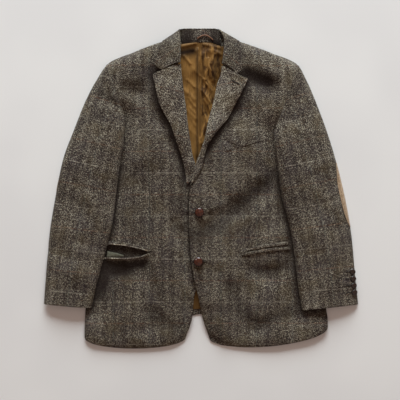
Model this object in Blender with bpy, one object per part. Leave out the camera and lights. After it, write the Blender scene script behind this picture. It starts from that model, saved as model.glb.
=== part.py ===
"""Tweed hacking jacket, laid flat on its back with the sleeves at its sides.

Every piece of cloth is a closed wall: a grid of outer points worked out from
the sections of its panel, and the same grid moved in along the normals by the
cloth's thickness.  Tables and helpers are in millimetres; meshes are in metres.
+X is the wearer's left, +Y points to the collar, +Z is up from the surface.
The origin is on the surface, under the middle of the laid-out jacket.
"""
import math

import bpy
import numpy as np
from mathutils import Vector
from mathutils.bvhtree import BVHTree

MM = 0.001

# ---- driving dimensions (mm) ------------------------------------------------
TWEED = 2.4              # wall of the body and sleeve cloth, interlined
BACK_TWEED = 2.0         # wall of the layer that lies on the surface
LINING = 1.0             # wall of the satin lining
LAPEL = 2.2              # wall of the turned-over lapel
COLLAR = 2.4             # wall of the collar
SEAM_GAP = 0.3           # space between two pieces at a seam
LAYER_GAP = 0.9          # space between a panel and a panel that lies on it
UNDER_SLEEVE_LOFT = 8.5  # height of the fronts where a sleeve lies on them
OVERLAP_LIFT = 4.8       # how far the left front lies above the right one
CENTRE_BACK_X = -4.0     # centre back seam
BUTTON_DIAMETER = 23.0
BUTTON_HEIGHT = 7.0
CUFF_BUTTON_DIAMETER = 15.0
CUFF_BUTTON_HEIGHT = 4.2
PATCH = 1.2              # wall of the suede elbow patches
PLACE = (-0.5, -0.25)

# ---- sections of the panels (mm) --------------------------------------------
# A row for each section across a panel, from the shoulder down.
# inner x, inner y, outer x, outer y, sag of the section's middle
FRONT_RIGHT = (
    (-72, 356, -226, 297, 6),
    (-63, 331, -211.3, 256, 3),
    (-56, 307, -196.7, 215, 0),
    (-52, 274, -182, 174, -4),
    (-47, 232, -222, 145, -14),
    (-42, 188, -262, 116, -18),
    (-35, 148, -265, 60, -8),
    (-28, 105, -267, 5, 0),
    (-19, 57, -269, -50, 0),
    (8, 10, -271, -108, 0),
    (19, -40, -273, -160, 0),
    (19, -105, -275, -210, 0),
    (14, -165, -277, -255, 0),
    (-7, -222, -278, -292, 0),
    (-18, -266, -279, -318, 0),
    (-22, -312, -280, -340, -12),
    (-36, -357, -280, -358, -27),
)
FRONT_LEFT = (
    (68, 357, 234, 295, 6),
    (61, 330, 214, 242, 3),
    (54, 302, 194, 189, 0),
    (49, 268, 174, 136, -14),
    (36, 180, 220, 126, -40),
    (28, 160, 266, 124, -38),
    (20, 135, 271, 70, -14),
    (13, 106, 276, 15, -2),
    (-4, 66, 281, -45, 0),
    (-16, 24, 285, -100, 0),
    (-27, -15, 289, -145, 0),
    (-28, -90, 293, -190, 0),
    (-23, -165, 296, -230, 0),
    (-15, -221, 299, -265, 0),
    (-6, -258, 301.5, -292, 0),
    (6, -318, 305, -315, -10),
    (20, -359, 305, -333, -33),
)
BACK_RIGHT = (
    (-4, 349, -226, 297, 17),
    (-4, 275, -238, 236.7, 4),
    (-4, 195, -250, 176.3, 0),
    (-4, 125, -262, 116, 0),
    (-4, -90, -271, -120, 0),
    (-4, -302, -280, -358, 0),
)
BACK_LEFT = (
    (-4, 349, 234, 295, 18),
    (-4, 275, 244.7, 238, 4),
    (-4, 200, 255.3, 181, 0),
    (-4, 130, 266, 124, 0),
    (-4, -90, 286, -110, 0),
    (-4, -302, 305, -333, 0),
)
BACK_LINING = (
    (-50, 342, 53, 342, 0),
    (-110, 318, 115, 318, 0),
    (-180, 285, 186, 285, 0),
    (-195, 240, 200, 240, 0),
    (-215, 150, 220, 150, 0),
    (-243, 95, 245, 95, 0),
    (-250, -100, 268, -95, 0),
    (-262, -318, 284, -300, 20),
)
# outer x, outer y, inner x, inner y, loft of the sleeve's upper layer
SLEEVE_RIGHT = (
    (-226, 297, -182, 174, 10),
    (-252, 258, -184, 140, 19),
    (-276, 212, -187, 107, 21),
    (-305, 140, -196, 56, 20),
    (-331, 68, -203, 4, 18),
    (-350, -28, -213, -78, 16),
    (-363, -110, -230, -150, 15),
    (-370, -196, -250, -222, 13),
    (-376, -277, -264, -286, 10),
)
SLEEVE_LEFT = (
    (234, 295, 174, 136, 10),
    (257, 252, 176, 108, 19),
    (281, 194, 182, 74, 21),
    (305, 128, 188, 30, 20),
    (327, 52, 196, -24, 18),
    (348, -40, 214, -90, 16),
    (362, -125, 226, -158, 15),
    (370, -212, 233, -222, 13),
    (377, -278, 244, -291, 10),
)
# Lower layers of the sleeves: round the underarm, then as the upper layers
# outer x, outer y, inner x, inner y
UNDER_SLEEVE_RIGHT = (
    (-229, 293, -227.5, 290),
    (-252, 258, -236.3, 249),
    (-276, 212, -247.3, 195),
    (-299, 155, -257.7, 142),
    (-308, 133, -262.9, 116.5),
    (-325, 86, -232, 100),
    (-333, 60, -203, 96),
    (-339, 30, -194, 66),
    (-346, -8, -200.1, 26),
    (-354, -53, -213, -78),
    (-363, -110, -230, -150),
    (-370, -196, -250, -222),
    (-376, -277, -264, -286),
)
UNDER_SLEEVE_LEFT = (
    (237, 291, 235.8, 288),
    (257, 252, 243.7, 247),
    (281, 194, 254.6, 189),
    (298.4, 146, 263, 144),
    (304, 130.5, 266.9, 124.3),
    (315.4, 92, 236, 110),
    (321, 73, 204, 102),
    (327.5, 50, 188, 60),
    (333.8, 22, 196, -24),
    (348, -40, 214, -90),
    (362, -125, 226, -158),
    (370, -212, 233, -222),
    (377, -278, 244, -291),
)
UNDERARM_RIGHT = (-262, 116)
UNDERARM_LEFT = (266, 124)
# Loft of the fronts along the body: y, height of the cloth's outer face
BODY_LOFT = (
    (-386, 10.0),
    (-280, 12.5),
    (-180, 15.0),
    (-60, 17.0),
    (60, 19.0),
    (174, 22.0),
    (260, 24.0),
    (320, 21.0),
    (357, 17.0),
)
# Soft ridges (+) and troughs (-) of the fronts:
# start x, start y, end x, end y, half width, height
FRONT_FOLDS = (
    (178, 42, 150, -8, 26, -3.0),      # below the left armpit ...
    (150, -8, 84, -48, 26, -5.0),      # ... across to the upper button
    (84, -48, 20, -92, 24, -3.5),
    (200, -8, 120, -72, 22, 2.5),
    (222, -170, 165, -212, 24, -3.5),  # hollow under the left pocket
    (165, -212, 128, -188, 22, -3.0),
    (94, -235, 96, -345, 22, -3.0),    # upright hollows of the left skirt
    (170, -250, 176, -350, 24, 2.0),
    (40, -250, 62, -350, 20, 2.0),
    (118, 262, 168, 238, 24, -4.5),    # hollow beside the left lapel's tip
    (112, 180, 60, 90, 20, -2.0),
    (-114, 270, -150, 232, 24, -4.0),  # hollow beside the right lapel's tip
    (-96, 170, -62, 72, 20, -2.5),
    (-126, 40, -126, -140, 16, -1.4),  # dart of the right front
    (106, 10, 106, -140, 14, -1.0),    # dart of the left front
    (-228, -186, -140, -196, 26, -4.5),  # hollow under the right pocket
    (-120, -230, -108, -350, 22, -2.5),
    (-190, -240, -180, -340, 24, 2.0),
    (-60, -90, -20, -150, 20, -2.0),
)
# Folds of the sleeves' upper layers, in the same columns
SLEEVE_FOLDS = (
    (-238, 212, -198, 204, 11, -3.0),  # creases at the right sleeve's head
    (-208, 196, -186, 198, 8, -2.0),
    (-240, 160, -300, 150, 20, 1.5),
    (-330, -20, -250, -70, 22, -2.0),
    (-340, -95, -270, -105, 18, 2.0),
    (-350, -150, -262, -182, 20, -2.0),
    (190, 214, 212, 222, 9, -3.0),     # creases at the left sleeve's head
    (205, 232, 228, 236, 8, -2.5),
    (186, 172, 226, 158, 12, -2.5),
    (232, 212, 226, 180, 9, -2.0),
    (330, 10, 250, -40, 22, -2.0),
    (350, -110, 262, -104, 20, 2.0),
    (350, -180, 262, -190, 20, -2.0),
)
# Wrinkles of the back lining in the neck opening, in the same columns
LINING_FOLDS = (
    (-10, 330, -10, 80, 4.5, 2.6),     # centre pleat
    (6, 322, 14, 250, 6.0, 3.4),
    (24, 330, 30, 262, 7.0, 4.2),
    (8, 240, 26, 178, 6.0, 3.6),
    (20, 170, 2, 110, 6.0, 3.4),
    (-44, 322, -22, 332, 6.0, 4.0),    # puff below the collar stand
    (10, 330, 44, 326, 7.0, 4.0),
    (-40, 236, -16, 214, 5.0, 2.0),
    (-34, 190, -14, 168, 5.0, 1.8),
)
# The sleeves' lower layers rise over what is sewn under them:
# centre x, centre y, half length x, half length y, rise
UNDER_RISES = (
    (-311, -22, 50, 98, 1.7),         # right elbow patch
    (-352, -226, 26, 52, 4.7),         # right cuff's buttons
    (324, -15, 52, 98, 1.7),          # left elbow patch, wrapped round the edge
)
# Roll line and outer edge of each lapel:
# roll x, roll y, edge x, edge y
LAPEL_RIGHT = (
    (-48, 297, -84, 286),
    (-47, 284, -97, 280),
    (-46, 272, -113, 270),
    (-43, 250, -107, 240),
    (-40, 222, -99, 204),
    (-36, 197, -89, 183),
    (-32, 160, -73, 155),
    (-26, 118, -57, 110),
    (-20, 80, -43, 69),
    (-16, 54, -38, 45),
    (-24, 22, -34, 14),
)
LAPEL_LEFT = (
    (49, 291, 84, 274),
    (48, 278, 100, 266),
    (45, 265, 110, 262),
    (38, 248, 104, 246),
    (33, 222, 93, 223),
    (26, 193, 79, 197),
    (16, 156, 62, 165),
    (9, 122, 47, 147),
    (-1, 90, 30, 125),
    (-9, 64, 14, 98),
    (-17, 34, -1, 46),
    (-24, 14, -13, 23),
)
# Each leaf of the collar fall on its front, from the gorge to the neck's fold:
# crease x, crease y, crease z, edge x, edge y, sag of the section
COLLAR_RIGHT = (
    (-49, 299, 31, -110, 296, -13),
    (-48, 316, 31, -106, 312, -5),
    (-48, 334, 29, -99, 334, 0),
    (-49, 352, 25, -95, 347, 0),
    (-50, 369, 18, -92, 352, 0),
    (-51, 384, 6, -91, 355, 0),
)
COLLAR_LEFT = (
    (50, 297, 31, 97, 284, -13),
    (52, 314, 31, 96, 308, -4),
    (54, 334, 29, 95, 332, 0),
    (55, 352, 25, 93, 346, 0),
    (50, 370, 18, 92, 351, 0),
    (43, 384, 6, 91, 354, 0),
)
# The fall under the back and the stand in front of it:
# crease x, crease y, lower edge x, lower edge y
COLLAR_BACK = (
    (-50, 384, -90, 353),
    (-38, 385, -64, 343),
    (-22, 385, -34, 337),
    (-4, 385, -4, 335),
    (14, 385, 28, 337),
    (30, 385, 60, 343),
    (42, 384, 90, 353),
)
COLLAR_STAND = (
    (-46, 380, -47, 348),
    (-30, 381, -29, 350),
    (-4, 381, -4, 352),
    (22, 381, 24, 351),
    (40, 380, 49, 343),
)


STAND_Z = 7.6            # height of the stand's outer face
LOOP_FROM = (-9, 360)    # hanger loop: its two ends, arch, width and thickness
LOOP_TO = (29, 357)
LOOP_ARCH = 9.0
LOOP_WIDTH = 5.0
LOOP_THICK = 1.2
# Strips on the fronts: node, front, line (x, y), width, thickness, lift, finish
TRIMMINGS = (
    ("hip_jet_upper_right", "right",
     ((-222, -131), (-187, -133), (-160, -138), (-122, -148)), 6.0, 1.6, 0.6, "tweed"),
    ("hip_jet_lower_right", "right",
     ((-226, -169), (-180, -170), (-145, -166), (-125, -158)), 6.0, 1.6, 1.6, "tweed"),
    ("pocket_lining_right", "right",
     ((-225, -157.5), (-205, -159), (-186, -161.5)),
     (13, 12.6, 12, 11.2, 10.4, 9.6, 8.8, 8, 7, 6, 5, 4, 3), 1.2, 0.0, "pocketing"),
    ("hip_jet_upper_left", "left",
     ((96, -152), (127, -143), (164, -136), (208, -131)), 6.0, 1.6, 0.4, "tweed"),
    ("hip_jet_lower_left", "left",
     ((98, -159), (130, -152.5), (168, -146.5), (212, -143.5)), 6.0, 1.6, 0.8, "tweed"),
    ("breast_welt_left", "left",
     ((58, 100), (88, 108), (118, 117), (146, 126)), 22.0, 1.8, 0.4, "tweed"),
)
FRONT_BUTTONS = (("upper", -4.0, -57.5), ("lower", -6.5, -175.0))
CUFF_BUTTONS_LEFT = ((363, -200), (364.6, -216.5), (366.2, -233), (367.8, -249.5))
CUFF_BUTTONS_RIGHT = ((-355, -200), (-356.5, -217), (-358, -234), (-359.5, -251))
PATCH_RIGHT = (-311, -22, 38, 80)       # centre x, centre y, half width, half length
PATCH_LEFT = (62, -92, 54, 15)          # top y, bottom y, width under the sleeve, width above


# ---- helpers ----------------------------------------------------------------
def smooth(t):
    """Soft step: 0 below 0, 1 above 1, with level ends."""
    t = np.clip(t, 0.0, 1.0)
    return t * t * (3.0 - 2.0 * t)


def rounded(distance, radius):
    """Quarter-circle profile: 0 at an edge, 1 at a radius inside it."""
    s = np.clip(distance / radius, 0.0, 1.0)
    return np.sqrt(1.0 - (1.0 - s) ** 2)


def flow(knots, values, at):
    """Smooth curve through a table's values that never overshoots them.

    Cubic pieces whose slope at a knot is the harmonic mean of the slopes on
    its two sides, or level where those have opposite signs.
    """
    knots = np.asarray(knots, float)
    values = np.asarray(values, float)
    at = np.clip(at, knots[0], knots[-1])
    step = np.diff(knots)
    slope = np.diff(values) / step
    product = slope[:-1] * slope[1:]
    total = slope[:-1] + slope[1:]
    inside = np.where(product > 0, 2.0 * product / np.where(total == 0, 1.0, total), 0.0)
    tangent = np.concatenate(([slope[0]], inside, [slope[-1]]))
    k = np.clip(np.searchsorted(knots, at, side="right") - 1, 0, len(step) - 1)
    t = (at - knots[k]) / step[k]
    h = step[k]
    return (values[k] * (1 + 2 * t) * (1 - t) ** 2
            + tangent[k] * h * t * (1 - t) ** 2
            + values[k + 1] * t * t * (3 - 2 * t)
            + tangent[k + 1] * h * t * t * (t - 1))


def sections(table, sharp=()):
    """The table's columns, with one row added halfway between each two.

    Columns run smoothly through the table's rows; those named in sharp run
    straight from row to row, so that corners and seams stay where they are.
    """
    table = np.asarray(table, float)
    knots = np.arange(len(table))
    at = np.linspace(0, len(table) - 1, 2 * len(table) - 1)
    columns = []
    for number, column in enumerate(table.T):
        if number in sharp:
            columns.append(np.interp(at, knots, column))
        else:
            columns.append(flow(knots, column, at))
    return columns


def fold_field(folds, x, y):
    """Sum of soft ridges: each is highest on its line and fades by a bell curve."""
    total = np.zeros_like(x)
    for ax, ay, bx, by, half_width, height in folds:
        dx = bx - ax
        dy = by - ay
        along = ((x - ax) * dx + (y - ay) * dy) / (dx * dx + dy * dy)
        near = np.clip(along, 0.0, 1.0)
        away = np.hypot(x - ax - near * dx, y - ay - near * dy)
        total += height * np.exp(-(away / half_width) ** 2)
    return total


def line_x(points, y):
    """x of an outline at height y, from (x, y) points listed downwards."""
    points = np.asarray(points, float)[::-1]
    return np.interp(y, points[:, 1], points[:, 0])


def normals(grid):
    """Unit normals of a grid of points, from its two directions."""
    along = np.gradient(grid, axis=0)
    across = np.gradient(grid, axis=1)
    n = np.cross(along, across)
    length = np.linalg.norm(n, axis=2, keepdims=True)
    return n / np.maximum(length, 1e-9)


def material(name, color, roughness):
    """Principled material in the piece's own colour."""
    made = bpy.data.materials.new(name)
    made.use_nodes = True
    shader = made.node_tree.nodes["Principled BSDF"]
    shader.inputs["Base Color"].default_value = (*color, 1.0)
    shader.inputs["Roughness"].default_value = roughness
    shader.inputs["Metallic"].default_value = 0.0
    made.diffuse_color = (*color, 1.0)
    return made


def add_object(name, points, faces, finish):
    """One named object from points in mm; faces are turned to face outwards."""
    points = (np.asarray(points, float) + (*PLACE, 0.0)) * MM
    faces = np.asarray(faces, int)
    a, b, c = (points[faces[:, k]] for k in range(3))
    if np.einsum("ij,ij->i", a, np.cross(b, c)).sum() < 0:
        faces = faces[:, ::-1]
    mesh = bpy.data.meshes.new(name)
    mesh.from_pydata(points.tolist(), [], faces.tolist())
    mesh.validate()
    mesh.update()
    mesh.shade_smooth()
    mesh.set_sharp_from_angle(angle=math.radians(50))
    color, roughness = FINISHES[finish]
    mesh.materials.append(material(name, color, roughness))
    made = bpy.data.objects.new(name, mesh)
    bpy.context.scene.collection.objects.link(made)
    return made


def sheet_faces(rows, columns):
    """Triangles of one side of a grid, as indices into its points."""
    index = np.arange(rows * columns).reshape(rows, columns)
    a = index[:-1, :-1].ravel()
    b = index[:-1, 1:].ravel()
    c = index[1:, 1:].ravel()
    d = index[1:, :-1].ravel()
    return np.concatenate((np.stack((a, b, c), 1), np.stack((a, c, d), 1)))


def wall(name, outer, inner, finish):
    """Closed wall between two grids of the same size."""
    rows, columns = outer.shape[:2]
    count = rows * columns
    index = np.arange(count).reshape(rows, columns)
    rim = np.concatenate((index[0, :-1], index[:-1, -1], index[-1, :0:-1], index[:0:-1, 0]))
    following = np.roll(rim, -1)
    side = np.concatenate((
        np.stack((rim, rim + count, following + count), 1),
        np.stack((rim, following + count, following), 1),
    ))
    top = sheet_faces(rows, columns)
    points = np.concatenate((outer.reshape(-1, 3), inner.reshape(-1, 3)))
    faces = np.concatenate((top, top[:, ::-1] + count, side))
    return add_object(name, points, faces, finish)


def cloth(name, outer, thickness, finish):
    """Wall of a panel that lies in plan: its inner face is straight below.

    The inner face is lower by the thickness, and by more where the panel
    slopes, so that the wall keeps its thickness square to the cloth.
    """
    level = np.abs(normals(outer)[..., 2])
    drop = thickness * np.minimum(1 / np.maximum(level, 0.1), 1.7)
    drop[0] = drop[-1] = thickness
    drop[:, 0] = drop[:, -1] = thickness
    inner = outer.copy()
    inner[..., 2] -= drop
    return wall(name, outer, inner, finish)


def grid(left, right, share):
    """Points between two edges, at the given shares of the way across."""
    share = np.asarray(share, float)[None, :]
    return left[:, None] * (1 - share) + right[:, None] * share


# ---- heights ----------------------------------------------------------------
SIDE = {
    "right": dict(sign=-1, front=FRONT_RIGHT, sleeve=SLEEVE_RIGHT, back=BACK_RIGHT,
                  under_sleeve=UNDER_SLEEVE_RIGHT, underarm=UNDERARM_RIGHT, lapel=LAPEL_RIGHT, collar=COLLAR_RIGHT,
                  shoulder=((-226, 297), (-190, 314), (-149, 332), (-114, 347), (-72, 361))),
    "left": dict(sign=1, front=FRONT_LEFT, sleeve=SLEEVE_LEFT, back=BACK_LEFT,
                 under_sleeve=UNDER_SLEEVE_LEFT, underarm=UNDERARM_LEFT, lapel=LAPEL_LEFT, collar=COLLAR_LEFT,
                 shoulder=((234, 295), (192, 314), (153, 332), (106, 349), (68, 361))),
}
UNDERARM_ROW = 5         # row of a front's table that ends at the underarm
ROLL_CLEAR = 6.5         # a front's edge stays this far inside the roll line
GAP_APEX_Y = -236
GAP_RIGHT = ((-14, -236), (-19, -275), (-22, -312), (-30, -345), (-48, -371))
GAP_LEFT = ((-12, -236), (1, -289), (6, -318), (14, -345), (29, -374))
BACK_HEM = ((-280, -358), (-4, -302), (305, -333))
COLLAR_SEAT = (84, 318, 30)   # half width, lowest y and soft edge of the seat


def back_rise(x, y, spread=0.0):
    """The back is lifted off the surface where the collar lies under it."""
    half_width, lowest, soft = COLLAR_SEAT
    across = smooth((half_width + spread + soft - np.abs(x - CENTRE_BACK_X)) / soft)
    down = smooth((y - lowest + spread + soft) / soft)
    return (COLLAR + 0.6) * across * down


def support(x, y):
    """Height of what a front's free edge lies on: the back, or the surface."""
    hem = np.asarray(BACK_HEM, float)
    below = np.interp(x, hem[:, 0], hem[:, 1]) - y
    on_back = BACK_TWEED + LINING + 0.8
    at_side = smooth((np.abs(x) - 252) / 26)
    seat = on_back + (BACK_TWEED + SEAM_GAP - on_back) * at_side
    off_back = smooth((below - 12) / 34) * (1 - at_side)
    return seat + (SEAM_GAP - seat) * off_back


def body_loft(side, x, y):
    """Height of a front's outer face above the surface at a place in plan."""
    shape = SIDE[side]
    sign = shape["sign"]
    loft = np.asarray(BODY_LOFT, float)
    full = flow(loft[:, 0], loft[:, 1], y)
    sleeve = np.asarray(shape["sleeve"], float)
    fold_inside = sign * (line_x(sleeve[:, 2:4], y) - x)
    edge = np.asarray(shape["front"], float)[UNDERARM_ROW:, 2:4]
    side_inside = sign * (line_x(edge, y) - x)
    armpit_y = sleeve[0, 3]
    cuff_y = sleeve[-1, 3]
    # beside and under the sleeve the front is pressed down
    pressed = 1 - smooth(fold_inside / 56)
    pressed = pressed * (1 - smooth((y - armpit_y + 4) / 60))
    pressed = pressed * (1 - smooth((cuff_y - 12 - y) / 34))
    height = full + (UNDER_SLEEVE_LOFT - full) * pressed
    height = height + fold_field(FRONT_FOLDS, x, y) * (1 - pressed)
    # free edges come down to what they lie on
    base = support(x, y) + TWEED
    line = np.asarray(shape["shoulder"], float)
    order = np.argsort(line[:, 0])
    below_shoulder = np.interp(x, line[order, 0], line[order, 1]) - y
    shoulder = rounded(below_shoulder + 1.0, 26)
    cuff_free = smooth((cuff_y - 6 - y) / 34)
    sides = (1 - cuff_free) * np.clip((side_inside + 2) / 30, 0, 1)
    sides = sides + cuff_free * rounded(side_inside + 0.6, 28)
    hem_y = -358 - 27 * np.sqrt(np.clip(1 - ((np.abs(x) - 158) / 124) ** 2, 0, 1))
    hem = rounded(y - hem_y + 1.5, 30)
    gap = np.maximum(line_x(GAP_RIGHT, y) - x, x - line_x(GAP_LEFT, y))
    gap = np.hypot(np.maximum(gap, 0), np.maximum(y - GAP_APEX_Y, 0))
    front_edge = rounded(gap + 1.0, 34)
    return base + np.maximum(height - base, 0.3) * shoulder * sides * hem * front_edge


def front_height(side, x, y):
    """Outer face of a front; the left one lies on the right one."""
    height = body_loft(side, x, y)
    if side == "left":
        over = (1 - smooth((x - 44) / 60)) * smooth((y + 300) / 36)
        height = height + OVERLAP_LIFT * over
    return height


def under_rise(x, y):
    """How far a sleeve's lower layer is lifted by what is sewn under it."""
    total = np.zeros_like(x)
    for cx, cy, rx, ry, rise in UNDER_RISES:
        reach = np.maximum(np.abs(x - cx) / rx, np.abs(y - cy) / ry)
        total = np.maximum(total, rise * (1 - smooth((reach - 1.0) / 0.5)))
    return total


def under_sleeve_base(side, x, y):
    """Underside of a sleeve's lower layer: on the surface, or on the front."""
    shape = SIDE[side]
    sign = shape["sign"]
    edge = np.asarray(shape["front"], float)[UNDERARM_ROW:, 2:4]
    outside = np.maximum(sign * (x - line_x(edge, y)), 0)
    ux, uy = shape["underarm"]
    ax, ay = shape["sleeve"][0][2:4]
    seam_y = uy + (ay - uy) * np.clip((x - ux) / (ax - ux), 0, 1)
    above = np.maximum(y - seam_y, 0)
    away = np.hypot(outside, above)
    on_body = 1 - smooth((away - 15) / 24)
    lifted = body_loft(side, x, y) + LAYER_GAP
    return np.maximum(on_body * lifted, under_rise(x, y))


def seam_shift(side, gap):
    """Step in plan from the armhole seam towards the sleeve."""
    shoulder_x, shoulder_y, armpit_x, armpit_y, _ = SIDE[side]["sleeve"][0]
    along = np.array((armpit_x - shoulder_x, armpit_y - shoulder_y), float)
    along = along / np.linalg.norm(along)
    sign = SIDE[side]["sign"]
    return gap * sign * np.array((-along[1], along[0]))


# ---- body -------------------------------------------------------------------
def panel_plan(table, share, belly=0.5):
    """Plan of a panel: straight sections with a sag in the middle."""
    x0, y0, x1, y1, sag = sections(table, sharp=(2, 3))
    share = np.asarray(share, float)
    x = grid(x0, x1, share)
    y = grid(y0, y1, share)
    y = y + sag[:, None] * (4 * share * (1 - share)) ** belly
    return x, y


def drawn_in(columns, amount):
    """Shares of the way across, closer at the edges (+) or in the middle (-)."""
    t = np.linspace(0, 1, columns)
    return t - amount * np.sin(2 * np.pi * t) / (2 * np.pi)


def make_front(side):
    """A front from the lapel's roll line to the side seam."""
    shape = SIDE[side]
    sign = shape["sign"]
    x0, y0, x1, y1, sag = sections(shape["front"], sharp=(2, 3))
    roll = np.asarray(shape["lapel"], float)[:, :2]
    beside_roll = (y0 > roll[-1, 1]) & (y0 < roll[0, 1])
    roll_x = line_x(roll, y0) + sign * ROLL_CLEAR
    x0 = np.where(beside_roll, roll_x, x0)
    share = drawn_in(15, 0.5)
    x = grid(x0, x1, share)
    y = grid(y0, y1, share) + sag[:, None] * np.sqrt(4 * share * (1 - share))
    z = front_height(side, x, y)
    return cloth("front_" + side, np.stack((x, y, z), 2), TWEED, "tweed")


def make_back(side):
    """Half of the back, from the centre back seam to the side seam."""
    x, y = panel_plan(SIDE[side]["back"], np.linspace(0, 1, 10))
    x[:, 0] += SIDE[side]["sign"] * SEAM_GAP / 2
    top = np.stack((x, y, back_rise(x, y) + BACK_TWEED), 2)
    wall("back_" + side, top, top - (0, 0, BACK_TWEED), "tweed")


def lining_height(x, y):
    """Outer face of the lining: wrinkled in the neck opening, plain beyond."""
    shown = 1 - smooth((np.abs(x) - 46) / 26)
    wrinkles = np.maximum(fold_field(LINING_FOLDS, x, y), 0) * shown
    return BACK_TWEED + back_rise(x, y, 30) + SEAM_GAP + LINING + 0.2 + wrinkles


def make_lining():
    """Satin back lining, finer in the middle where it shows."""
    table = np.asarray(BACK_LINING, float)
    rows = np.linspace(0, 1, 25)
    knots = np.linspace(0, 1, len(table))
    x0, y0, x1, y1, sag = (np.interp(rows, knots, column) for column in table.T)
    share = drawn_in(19, -0.72)
    x = grid(x0, x1, share)
    y = grid(y0, y1, share) + sag[:, None] * np.sqrt(4 * share * (1 - share))
    cloth("back_lining", np.stack((x, y, lining_height(x, y)), 2), LINING, "satin")


# ---- sleeves ----------------------------------------------------------------
def make_under_sleeve(side):
    """Lower layer of a sleeve: on the surface, then over the body's side."""
    ox, oy, ix, iy = sections(SIDE[side]["under_sleeve"], sharp=(0, 1, 2, 3))
    share = np.linspace(0, 1, 7)
    x = grid(ox, ix, share)
    y = grid(oy, iy, share)
    low = under_sleeve_base(side, x, y)
    top = np.stack((x, y, low + BACK_TWEED), 2)
    wall("under_sleeve_" + side, top, np.stack((x, y, low), 2), "tweed")


def make_top_sleeve(side):
    """Upper layer of a sleeve: an arch from its outer fold to its inner fold."""
    shape = SIDE[side]
    ox, oy, ix, iy, loft = sections(shape["sleeve"], sharp=(0, 1, 2, 3))
    angle = np.linspace(0, np.pi, 12)
    share = (1 - np.cos(angle)) / 2
    x = grid(ox, ix, share)
    y = grid(oy, iy, share)
    u = np.linspace(0, 1, len(ox))[:, None]
    seat = BACK_TWEED + SEAM_GAP
    outer_z = under_sleeve_base(side, x[:, :1], y[:, :1]) + seat + 0.3
    inner_z = under_sleeve_base(side, x[:, -1:], y[:, -1:]) + seat + 0.5
    base = outer_z * (1 - share) + inner_z * share
    arch = np.sin(angle)[None, :]
    z = base + loft[:, None] * arch ** 0.75 + fold_field(SLEEVE_FOLDS, x, y) * arch
    head = front_height(side, x[:1], y[:1]) + (TWEED + 2 * LAYER_GAP) * smooth((share - 0.75) / 0.25)
    joined = smooth(u / 0.12)
    z = head * (1 - joined) + z * joined
    outer = np.stack((x, y, z), 2)
    outer[0, :, :2] += seam_shift(side, 0.7)
    n = normals(outer)
    if n[12, 6, 2] < 0:
        n = -n
    # the seam's rim is upright, and the two folds' rims lie level
    n[0] = (0, 0, 1)
    n[1:, 0] = np.stack((ox - ix, oy - iy, 0 * ox), 1)[1:]
    n[1:, -1] = -n[1:, 0]
    n = n / np.linalg.norm(n, axis=2, keepdims=True)
    inner = outer - TWEED * n
    floor = under_sleeve_base(side, inner[..., 0], inner[..., 1]) + seat
    inner[1:, :, 2] = np.maximum(inner[1:, :, 2], np.minimum(floor, outer[..., 2])[1:])
    return wall("top_sleeve_" + side, outer, inner, "tweed")


# ---- collar and lapels ------------------------------------------------------
# Section of a turned edge: how far in from the edge and how far below the face,
# and the way to its inner side: inwards and downwards
TURNED_EDGE = (
    (0.0, -6.0, 1.0, 0.0),
    (0.15, -3.8, 1.0, -0.1),
    (0.9, -1.6, 0.79, -0.61),
    (2.6, -0.4, 0.35, -0.94),
    (5.4, 0.0, 0.0, -1.0),
)


def turned_strip(crease, edge, face, shares, size):
    """Points of a strip whose first edge is turned under, and the way inwards.

    crease and edge are its two long edges; face is the unit direction that its
    outer face looks in.  The turned part follows TURNED_EDGE, as deep as each
    section's size of it, and the rest runs straight to the outer edge.
    """
    run = edge - crease
    width = np.linalg.norm(run, axis=1, keepdims=True)
    run = run / width
    face = np.asarray(face, float)
    size = np.asarray(size, float)[:, None]
    points = []
    inward = []
    for into, below, inside, down in TURNED_EDGE:
        points.append(crease + run * into + face * below * size)
        level = inside * size
        inward.append(run * level - face * np.sqrt(1 - level ** 2))
    start = TURNED_EDGE[-1][0]
    for share in shares:
        points.append(crease + run * (start + (width - start) * share))
        inward.append(-face + 0 * run)
    return np.stack(points, 1), np.stack(inward, 1)


def make_lapel(side):
    """Facing turned over on the roll line and laid on its front."""
    rx, ry, ex, ey = sections(SIDE[side]["lapel"])
    # the lower end stands higher, clear of the edge of the front below it
    end = 3.4 * (1 - smooth((ry - ry[-1]) / 46))
    roll = front_height(side, rx, ry) + LAPEL + 2.4 + end
    crease = np.stack((rx, ry, roll), 1)
    edge = np.stack((ex, ey, roll), 1)
    shares = np.array((0.0, 0.25, 0.6, 1.0))
    strip, inward = turned_strip(crease, edge, (0, 0, 1), shares[1:], np.ones_like(rx))
    start = len(TURNED_EDGE) - 1
    over = front_height(side, strip[:, start:, 0], strip[:, start:, 1])
    stand_off = 2.4 * (1 - shares) ** 1.5 + 1.5 * np.sin(np.pi * shares) + 1.0
    strip[:, start + 1:, 2] = (over + LAPEL + stand_off)[:, 1:]
    wall("lapel_" + side, strip, strip + LAPEL * inward, "tweed")


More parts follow.
